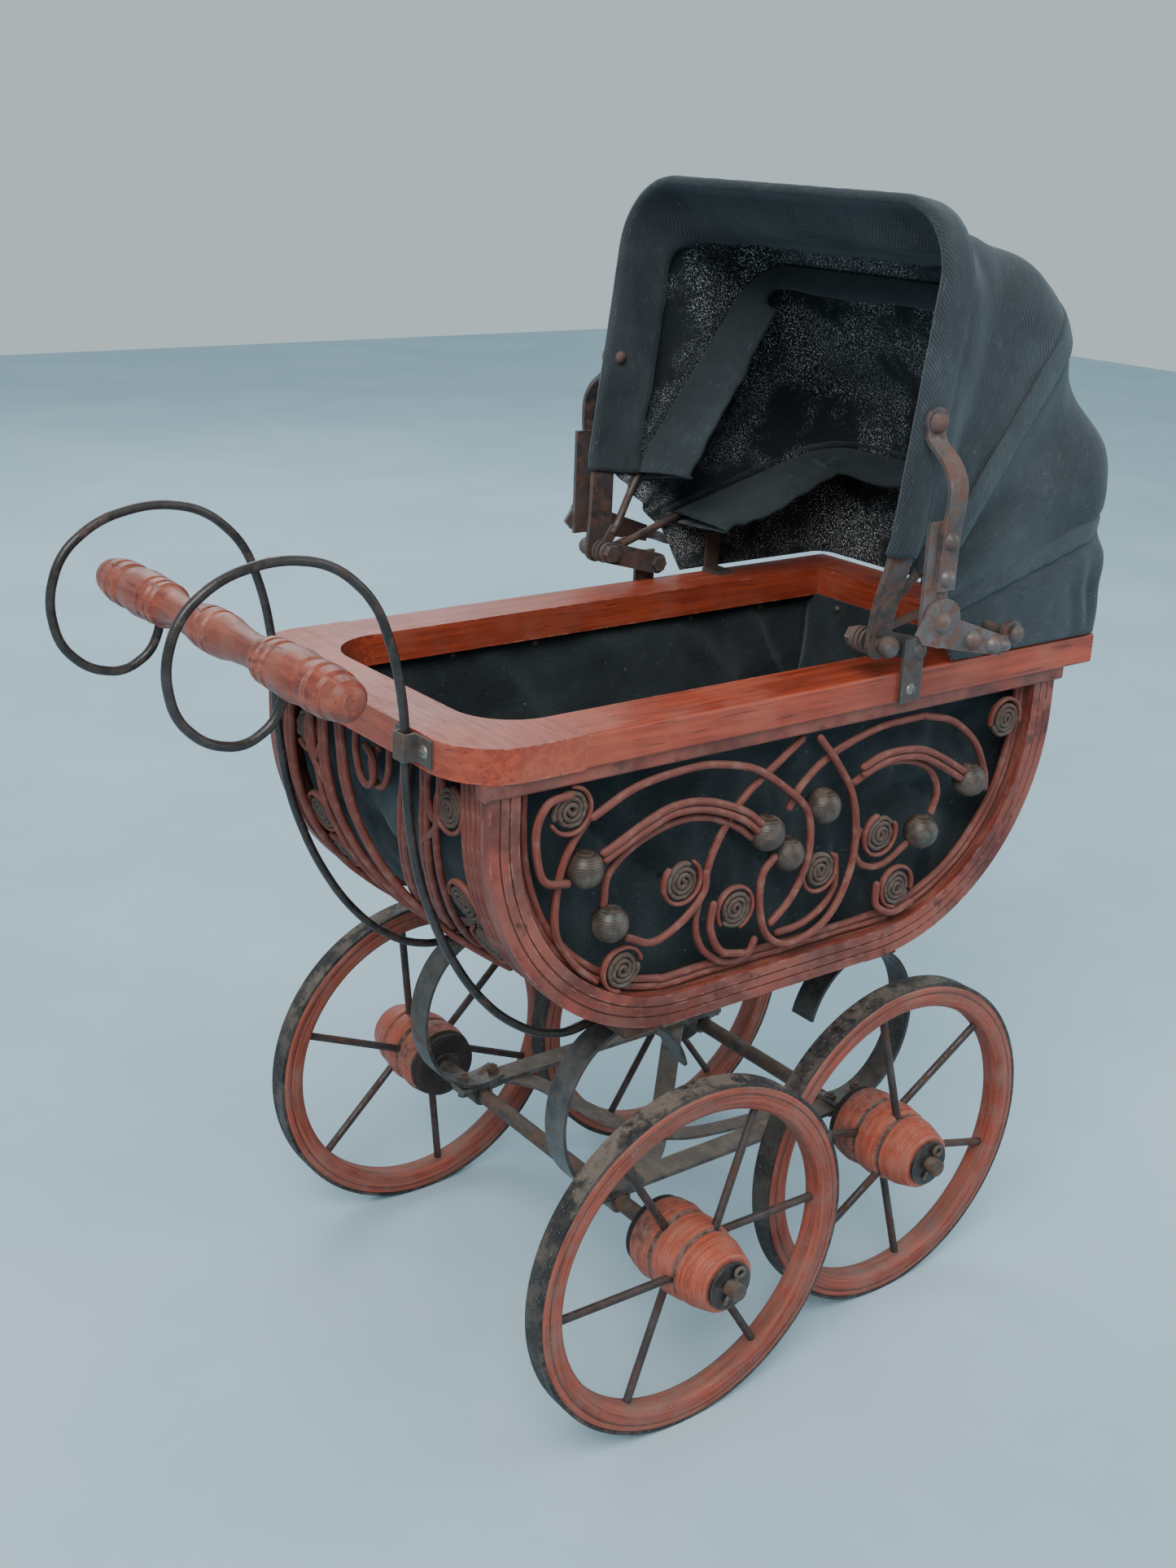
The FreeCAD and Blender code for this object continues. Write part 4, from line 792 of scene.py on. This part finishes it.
def seam_band(name, bow, start, aside0, aside1, out, body, material):
    """Narrow folded band sewn over a bow."""
    line = bow_line(bow, start)
    normals = outward(line)
    rows = []
    for i in range(7):
        t = i / 6
        lift = out + 0.5 * math.sin(math.pi * t)
        row = []
        for j, (p, n) in enumerate(zip(line, normals)):
            waver = 0.5 * wrinkle(j * 0.35, t, bow["lean"])
            aside = aside0 + (aside1 - aside0) * t + waver
            droop = 0.42 * max(0.0, aside) * roofness(n)
            row.append(on_bow(bow, p, n, aside, lift - droop + 0.25 * waver))
        rows.append(row)
    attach(make_cloth(name, rows, material, HOOD_CLOTH), body)


# Either side of the hanging part of a sleeve: place along the fold, and share of the drop below.
SLEEVE_FLAPS = [(-3.0, -0.25), (-2.4, -0.5), (-1.6, -0.75), (-1.0, -1.0),
                (1.0, -1.0), (1.6, -0.75), (2.4, -0.5), (3.0, -0.25)]


def inner_sleeve(name, bow, start, drop_side, drop_roof, body, material):
    """Flat tube of cloth that carries a bow inside the hood and hangs loose from it."""
    line = bow_line(bow, start)
    normals = outward(line)
    outline = [(3.4 * math.cos(math.pi * k / 8), 2.2 * math.sin(math.pi * k / 8)) for k in range(9)]
    rows = []
    for x, depth in outline + SLEEVE_FLAPS + outline[:1]:
        row = []
        for j, (p, n) in enumerate(zip(line, normals)):
            share = j / (ACROSS - 1)
            roof = roofness(n)
            drop = drop_side + (drop_roof - drop_side) * roof
            drop *= 1 + 0.22 * wrinkle(share * 9, bow["lean"]) + 0.30 * max(0.0, 1 - p.y / 150)
            drop *= 1 - 0.62 * max(0.0, min(1.0, -p.x / 60)) * (1 - roof)
            hang = -depth * drop if depth < 0 else 0.0
            sway = 0.25 * wrinkle(share * 7, 2.0, bow["lean"]) + 0.10 * wrinkle(share * 30, hang * 0.1)
            out = depth - 1.2 if depth > 0 else -1.2 - hang
            row.append(on_bow(bow, p, n, x + hang * sway, out))
        rows.append(row)
    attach(make_cloth(name, rows, material, SLEEVE_CLOTH), body)


BEND_RADIUS = 95.0


def bridge(bow_a, bow_b):
    """End and start of the bend between two bows, as points in metres."""
    radial, back = lean_axes((bow_a["lean"] + bow_b["lean"]) / 2)
    half = math.radians((bow_b["lean"] - bow_a["lean"]) / 2)
    across = back * BEND_RADIUS * math.sin(half)
    centre = PIVOT + radial * BEND_RADIUS * math.cos(half)
    return (centre + across) * MM, (centre - across) * MM


def make_hood():
    """Three panels in the CAD cloth's places, with seams over the bows and sleeves below them."""
    outside = canvas("hood_outside", (0.030, 0.037, 0.043), (0.072, 0.085, 0.096), 0.0011, 0.55, 0.0, 0.40)
    inside = canvas("hood_inside", (0.016, 0.021, 0.025), (0.034, 0.043, 0.050), 0.0011, 0.3, 1.0, 0.3)
    sleeve = canvas("hood_sleeve", (0.030, 0.039, 0.044), (0.062, 0.076, 0.084), 0.0010, 0.5, 0.0, 0.4)
    seam = canvas("hood_seam", (0.037, 0.045, 0.052), (0.080, 0.095, 0.106), 0.0010, 0.7, 0.0, 0.4)
    panels = (
        ("hood_front_cloth", front_panel, "stretched", ["front_bow", "middle_bow"],
         ("middle_bow", "front_bow", *bridge(FRONT, MIDDLE)), "hood_cloth_front"),
        ("hood_back_cloth", middle_panel, "stretched", ["middle_bow", "rear_bow"],
         ("rear_bow", "middle_bow", *bridge(MIDDLE, REAR)), "hood_cloth_middle"),
        ("hood_apron_cloth", apron_panel, "hung", ["rear_bow", "rim_hood_end"],
         (ROOT, "rear_bow", (0.235, 0, 0.381), (0.243, 0, 0.436)), "hood_apron"))
    for name, shape, held, rests_on, bend, replaced in panels:
        piece = make_cloth(name, shape(), inside, HOOD_CLOTH, outside)
        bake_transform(piece)
        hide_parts(replaced)
    seam_band("hood_seam_middle", MIDDLE, 46.0, -3.0, 9.5, 3.7, "middle_bow", seam)
    seam_band("hood_seam_rear", REAR, 50.0, -6.0, 6.0, 3.9, "rear_bow", seam)
    inner_sleeve("hood_sleeve_middle", MIDDLE, 50.0, 34.0, 12.0, "middle_bow", sleeve)
    inner_sleeve("hood_sleeve_rear", REAR, 56.0, 38.0, 26.0, "rear_bow", sleeve)


# ---------------------------------------------------------------- canes
HANDLE_ARC = (-17.0, 334.0, 118.0)
HOOD_ARC = (113.0, 337.0, 121.0)
ENDS = ((-1, HANDLE_ARC), (1, HOOD_ARC))
CANE, THIN_CANE, CANE_GAP = 2.0, 1.9, 3.9


class Tubes:
    """Mesh gathered from swept canes, each closed with rounded ends."""

    def __init__(self):
        self.points, self.faces, self.uvs = [], [], []

    def sweep(self, route, outs, half_width, half_depth, sides=10):
        """Oval section along a route; outs gives the depth direction at each point."""
        rings = []
        run = 0.0
        last = len(route) - 1
        for k, (point, out) in enumerate(zip(route, outs)):
            along = chord(route, k).normalized()
            across = along.cross(out).normalized()
            if k:
                run += (point - route[k - 1]).length
            trims = [(0.0, 1.0)]
            if k == 0:
                trims = [(-0.9, 0.45), (-0.5, 0.85), (0.0, 1.0)]
            if k == last:
                trims = [(0.0, 1.0), (0.5, 0.85), (0.9, 0.45)]
            for shift, share in trims:
                centre = point + along * shift * half_depth
                ring = len(self.points)
                for n in range(sides):
                    angle = 2 * math.pi * n / sides
                    offset = across * math.cos(angle) * half_width + out * math.sin(angle) * half_depth
                    self.points.append((centre + offset * share) * MM)
                    around = abs(n / sides - 0.5) * 2 * math.pi * half_depth
                    self.uvs.append((around * MM, (run + shift) * MM))
                rings.append(ring)
        self.close(rings, sides)

    def close(self, rings, sides):
        """Faces from ring to ring and across both ends."""
        for a, b in zip(rings, rings[1:]):
            for n in range(sides):
                m = (n + 1) % sides
                self.faces.append((a + n, b + n, b + m, a + m))
        self.faces.append(tuple(rings[0] + n for n in range(sides)))
        self.faces.append(tuple(rings[-1] + n for n in reversed(range(sides))))

    def piece(self, name, material, slot, *replaced, body=ROOT):
        """Make the mesh, riding on a body and standing in for any CAD nodes it replaces."""
        made = add_mesh(name, self.points, self.faces, material, self.uvs)
        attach(made, body)
        if replaced:
            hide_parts(*replaced)


def curve_through(points, spacing=2.6):
    """Smooth curve through points, evenly resampled."""
    ends = [points[0] * 2 - points[1]] + list(points) + [points[-1] * 2 - points[-2]]
    fine = []
    for a, b, c, d in zip(ends, ends[1:], ends[2:], ends[3:]):
        for k in range(12):
            t = k / 12
            fine.append(0.5 * (2 * b + (c - a) * t + (2 * a - 5 * b + 4 * c - d) * t * t
                               + (3 * b - a - 3 * c + d) * t * t * t))
    fine.append(points[-1])
    length = sum((q - p).length for p, q in zip(fine, fine[1:]))
    return resampled(fine, max(4, int(length / spacing)))


def strands(route, outs, count):
    """Parallel copies of a route, side by side in its surface."""
    copies = []
    for c in range(count):
        aside = (c - (count - 1) / 2) * CANE_GAP
        copy = []
        for k, (point, out) in enumerate(zip(route, outs)):
            along = chord(route, k).normalized()
            waver = 0.35 * wrinkle(k * 0.11, c * 5.0, route[0].x * 0.1)
            copy.append(point + along.cross(out).normalized() * (aside + waver) + out * waver)
        copies.append(copy)
    return copies


def hoop_route(inset):
    """Boat outline inside the side hoop, in (x, z)."""
    route = [(HANDLE_ARC[0] - HANDLE_ARC[2] + inset, 352.0)]
    for (cx, cz, radius), start in ((HANDLE_ARC, 180), (HOOD_ARC, 270)):
        for k in range(13):
            angle = math.radians(start + 90 * k / 12)
            reach = radius - inset
            route.append((cx + reach * math.cos(angle), cz + reach * math.sin(angle)))
    route.append((HOOD_ARC[0] + HOOD_ARC[2] - inset, 352.0))
    return route


SCROLLS = [
    (hoop_route(20.6), 2, 96.6),
    ([(-92, 349), (-104, 347), (-110, 336), (-109, 320), (-104, 309), (-92, 306)], 1, 104.0),
    ([(-79, 336), (-54, 346), (-28, 349), (-5, 348), (19, 341), (40, 327), (55, 313), (59, 296), (56, 280),
      (48, 266), (36, 256)], 1, 104.0),
    ([(-79, 334), (-89, 321), (-95, 303), (-95, 280), (-84, 262), (-71, 250)], 1, 100.4),
    ([(-71, 315), (-48, 325), (-31, 330), (-10, 328), (12, 319), (24, 310)], 2, 104.0),
    ([(-68, 289), (-66, 304), (-48, 317), (-26, 322), (-7, 320), (11, 312), (22, 304)], 1, 100.4),
    ([(51, 350), (34, 339), (14, 325), (-1, 304), (-7, 286), (-11, 267), (-6, 251), (8, 240), (24, 240),
      (29, 247)], 1, 100.4),
    ([(60, 350), (73, 335), (86, 315), (91, 293), (88, 269), (74, 248), (50, 241), (34, 249), (28, 266),
      (28, 284), (35, 292)], 1, 104.0),
    ([(135, 348), (104, 347), (72, 338), (54, 326), (46, 315)], 1, 100.4),
    ([(137, 348), (160, 341), (179, 326), (189, 308), (191, 298)], 1, 100.4),
    ([(93, 327), (109, 331), (131, 330), (149, 322), (167, 311)], 2, 104.0),
    ([(90, 320), (110, 326), (129, 325), (146, 316), (153, 303), (150, 292)], 1, 100.4),
    ([(97, 292), (94, 282), (101, 272), (115, 269), (133, 277)], 1, 100.4),
    ([(-3, 275), (-4, 262), (4, 248), (19, 243)], 1, 104.0),
    ([(-9, 293), (-10, 283), (-22, 271), (-40, 264), (-56, 270)], 1, 104.0),
    ([(110, 260), (111, 248), (123, 241), (137, 244)], 1, 104.0),
    ([(81, 281), (82, 264), (74, 254), (60, 248), (44, 247)], 1, 100.4)]
SIDE_COILS = [(-91, 341), (-23, 291), (-57, 253.6), (12, 269), (68, 277), (110, 288), (126, 255),
              (198, 337)]
END_COILS = [(67, -2), (68, 22), (69, 36)]
COIL_FACE = 102.4
COIL_START, COIL_PITCH, COIL_STEPS = 1.3, 2.6, 150
BAND_RADIUS, BAND_STEPS = 11.3, 40


def make_scrolls(side, label, material):
    """Canes bent into scrolls on one side of the tub."""
    tubes = Tubes()
    out = Vector((0, side, 0))
    for route, count, depth in SCROLLS:
        line = curve_through([Vector((x, side * depth, z)) for x, z in route])
        outs = [out] * len(line)
        for copy in strands(line, outs, count):
            tubes.sweep(copy, outs, CANE, CANE)
    tubes.piece("cane_scrolls_" + label, material, "cane_red", "scrollwork_" + label)


CANE_TOP = 358.0


def end_spot(end, y, down, lift=0.0):
    """Point on a curved end of the tub, down from the rim, and the way it faces."""
    cx, cz, radius = HANDLE_ARC if end < 0 else HOOD_ARC
    reach = radius - 3.6 + lift
    straight = CANE_TOP - cz
    if down < straight:
        return Vector((cx + end * reach, y, CANE_TOP - down)), Vector((end, 0, 0))
    angle = (down - straight) / radius
    facing = Vector((end * math.cos(angle), 0, -math.sin(angle)))
    return Vector((cx, y, cz)) + facing * reach, facing


POSTS = (91.0, 86.6)
END_CURVES = [
    ([(30, 1), (27, 20), (22, 45), (12, 75), (-2, 105), (-18, 132), (-34, 150)], 2),
    ([(45, 1), (45, 24), (41, 52), (32, 82), (18, 110), (2, 134), (-12, 150)], 2),
    ([(58, 1), (57, 20), (53, 38), (50, 62), (43, 90), (32, 118), (20, 144)], 1),
    ([(80, 1), (81, 40), (80, 80), (76, 110), (66, 134), (52, 150)], 2),
    ([(52, 30), (47, 20), (48, 9), (55, 5), (61, 12), (60, 25), (52, 36), (42, 44)], 1),
    ([(12, 1), (13, 14), (9, 26), (2, 30), (-4, 24), (-3, 14), (3, 10)], 1)]


def make_end_canes(material):
    """Corner posts and crossing curved canes at both ends of the tub."""
    tubes = Tubes()
    for end in (-1, 1):
        for side in (-1, 1):
            for y in POSTS:
                spots = [end_spot(end, side * y, down) for down in range(0, 156, 3)]
                tubes.sweep([p for p, f in spots], [f for p, f in spots], CANE, CANE)
            for curve, count in END_CURVES:
                flat = curve_through([Vector((y, down)).to_3d() for y, down in curve], 3.0)
                lift = 0.0 if side < 0 else 3.6
                spots = [end_spot(end, side * p.x, p.y, lift) for p in flat]
                line, outs = [p for p, f in spots], [f for p, f in spots]
                for copy in strands(line, outs, count):
                    tubes.sweep(copy, outs, THIN_CANE, THIN_CANE)
    tubes.piece("cane_ends", material, "cane_red", "end_canes")


def coil_spots():
    """Centre and facing of every coil."""
    spots = []
    for side in (-1, 1):
        for x, z in SIDE_COILS:
            spots.append((Vector((x, side * COIL_FACE, z)), Vector((0, side, 0))))
        for y, sweep in END_COILS:
            for end, (cx, cz, radius) in ENDS:
                angle = math.radians(sweep)
                facing = Vector((end * math.cos(angle), 0, -math.sin(angle)))
                spots.append((Vector((cx, side * y, cz)) + facing * (radius - 3.4), facing))
    return spots


def make_coils(coil_material, band_material):
    """Tight flat spirals of split cane, each with a red cane bent part of the way round."""
    spirals, bands = Tubes(), Tubes()
    for number, (centre, facing) in enumerate(coil_spots()):
        along = facing.cross(Vector((0, 0, 1)))
        along = along.normalized() if along.length > 0.1 else Vector((0, 1, 0))
        up = along.cross(facing).normalized()
        turn0 = 1.7 * number
        hand = 1 if number % 2 else -1
        route = []
        for k in range(COIL_STEPS):
            t = k / (COIL_STEPS - 1)
            radius = COIL_START + 7.9 * math.sqrt(t)
            angle = turn0 + hand * 2 * math.pi * (radius - COIL_START) / COIL_PITCH
            wobble = 0.45 * wrinkle(k * 0.13, number * 3.1)
            lift = 0.7 * (1 - t) + 0.7 * wrinkle(k * 0.21, number * 1.7, 4.0)
            route.append(centre + turned(along, up, angle) * (radius + wobble) + facing * lift)
        spirals.sweep(route, [facing] * COIL_STEPS, 1.32, 1.9, 8)
        route = []
        sweep = 4.2 + 1.6 * wrinkle(number * 2.3, 0.7)
        for k in range(BAND_STEPS):
            angle = turn0 + hand * (0.6 + sweep * k / (BAND_STEPS - 1))
            route.append(centre + turned(along, up, angle) * BAND_RADIUS + facing * 0.2)
        bands.sweep(route, [facing] * BAND_STEPS, 1.15, 2.1, 8)
    spirals.piece("cane_coil_spirals", coil_material, "coil_brown", "cane_coils")
    bands.piece("cane_coil_bands", band_material, "cane_red")


# ---------------------------------------------------------------- lining
LINING_TOP = 362.3
LINING_Y = 86.0
LINING_INSET = 8.4
TUB_BOTTOM = 216.0
WRAP_ROWS, WRAP_COLUMNS = 33, 190


def boat_bottom(x):
    """Height of the lining's lower edge under a point along its length."""
    for end, (cx, cz, radius) in ENDS:
        over = (x - cx) * end
        if over > 0:
            return cz - math.sqrt(max(0.0, (radius - LINING_INSET) ** 2 - over ** 2))
    return TUB_BOTTOM + LINING_INSET


def lining_side(side):
    """Rows of a side of the lining from the floor to the rim, hung in soft folds."""
    left = HANDLE_ARC[0] - HANDLE_ARC[2] + LINING_INSET
    right = HOOD_ARC[0] + HOOD_ARC[2] - LINING_INSET
    columns, levels = 110, 30
    rows = []
    for i in range(levels + 1):
        t = i / levels
        row = []
        for j in range(columns + 1):
            u = j / columns
            eased = (right - left) * (0.5 - 0.5 * math.cos(math.pi * u))
            x = left + eased * 0.55 + (right - left) * u * 0.45
            bottom = boat_bottom(x)
            z = bottom + (LINING_TOP - bottom) * t
            free = min(1.0, 5 * u, 5 * (1 - u)) * math.sin(math.pi * min(0.97, t)) ** 0.6
            fold = 5.0 * wrinkle(x * 0.026, z * 0.008, side * 3.0)
            fold += crease(x * 0.016 + z * 0.012, z * 0.010 + side) * 10.0
            fold += 3.0 * wrinkle(x * 0.07, z * 0.06, 5.0) + 0.9 * wrinkle(x * 0.2, z * 0.2, 5.0)
            inward = max(-5.0, 2.0 + fold)
            row.append(Vector((x, side * (LINING_Y - inward * free), z)))
        rows.append(row)
    return rows


def lining_wrap():
    """Rows of the strip that lines both ends and the floor, from side to side."""
    outline = [Vector((x, 0, z)) for x, z in hoop_route(LINING_INSET)]
    outline[0].z = outline[-1].z = LINING_TOP
    line = resampled(outline, WRAP_COLUMNS)
    rows = []
    for i in range(WRAP_ROWS):
        v = i / (WRAP_ROWS - 1)
        y = -LINING_Y + 2 * LINING_Y * v
        row = []
        for j, point in enumerate(line):
            along = chord(line, j).normalized()
            inward = Vector((-along.z, 0, along.x))
            share = j / (WRAP_COLUMNS - 1)
            free = math.sin(math.pi * v) ** 0.5 * min(1.0, 12 * share, 12 * (1 - share))
            fold = 3.2 * wrinkle(j * 0.055, y * 0.018, 2.0) + crease(j * 0.035, y * 0.012) * 7.0 + 1.0
            fold += 2.2 * wrinkle(j * 0.17, y * 0.07, 6.0)
            flat = 0.35 if 80 < j < 140 else 1.0
            row.append(point + Vector((0, y, 0)) + inward * max(-0.6, fold) * free * flat)
        rows.append(row)
    return rows


def make_lining():
    """Two side pieces and a strip round the ends and over the floor."""
    cloth = canvas("lining", (0.016, 0.022, 0.025), (0.046, 0.058, 0.064), 0.0010, 0.2, 0.0, 0.6)
    pieces = (("side_right", lining_side(-1)), ("side_left", lining_side(1)), ("wrap", lining_wrap()))
    for name, rows in pieces:
        piece = make_cloth("lining_" + name, rows, cloth, LINING_CLOTH)
        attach(piece, ROOT)
    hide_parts("lining")


TACK_HEIGHT = 357.0
TACK_SIZE = (2.3, 1.6)
STAY_RIVET_UP, STAY_RIVET_OUT = 108.7, 118.6


class Heads(Tubes):
    """Low domed heads of tacks and rivets."""

    def head(self, centre, facing, radius, height):
        """One head on a surface that faces the given way."""
        sides = 12
        along = facing.cross(Vector((0.31, 0.2, 0.93))).normalized()
        up = along.cross(facing)
        rings = []
        for lift, share in ((-0.5, 0.9), (0.0, 1.0), (0.45, 0.88), (0.8, 0.6), (0.96, 0.28)):
            rings.append(len(self.points))
            for n in range(sides):
                angle = 2 * math.pi * n / sides
                spot = centre + facing * lift * height
                spot += turned(along, up, angle) * radius * share
                self.points.append(spot * MM)
                self.uvs.append((n / sides * radius * MM, lift * height * MM))
        self.close(rings, sides)


def make_heads():
    """Tacks along the top of the lining, and the stay rivets' heads inside the front bow."""
    iron = aged_iron("tack", (0.10, 0.085, 0.078), (0.16, 0.085, 0.062), rusty=0.6, dusty=0.2)
    tacks = Heads()
    for side in (-1, 1):
        for k in range(6):
            x = -92 + 56 * k + 5 * wrinkle(k * 1.7, side * 2.0)
            spot = Vector((x, side * 85.3, TACK_HEIGHT + wrinkle(k * 2.3, side * 1.1)))
            tacks.head(spot, Vector((0, -side, 0)), *TACK_SIZE)
    for x, facing in ((-126.0, 1), (225.0, -1)):
        for y in (-56, -18, 20, 58):
            tacks.head(Vector((x, y, TACK_HEIGHT)), Vector((facing, 0, 0)), *TACK_SIZE)
    tacks.piece("lining_tacks", iron, "rivet_iron")
    rivets = Heads()
    up_the_bow = lean_axes(FRONT["lean"])[0]
    for side in (-1, 1):
        spot = PIVOT + up_the_bow * STAY_RIVET_UP + Vector((0, side * STAY_RIVET_OUT, 0))
        rivets.head(spot, Vector((0, -side, 0)), 4.0, 2.8)
    rivets.piece("front_bow_rivet_heads", iron, "rivet_iron", body="front_bow")


# ---------------------------------------------------------------- make everything
place_camera()
light_scene()
paint_nodes()
make_hood()
cane = cane_wood("cane", (0.235, 0.056, 0.040), (0.24, 0.115, 0.088))
coil_cane = cane_wood("coil", (0.120, 0.070, 0.054), (0.098, 0.096, 0.080), 0.6)
make_scrolls(-1, "right", cane)
make_scrolls(1, "left", cane)
make_end_canes(cane)
make_coils(coil_cane, cane)
make_lining()
make_heads()

paint = Paint("floor", Specular_IOR_Level=0.2)
paint.colour = paint.mix(paint.patches(3.0, 4.0, 0.6, 0.3, 0.7), (0.40, 0.55, 0.64), (0.46, 0.61, 0.70))
floor_material = paint.done(0.9, paint.bump(paint.noise(60.0, 4.0, 0.6), 0.1, 0.001))
floor = add_mesh("floor", [(-4, -4, 0), (4, -4, 0), (4, 4, 0), (-4, 4, 0)], [(0, 1, 2, 3)], floor_material)
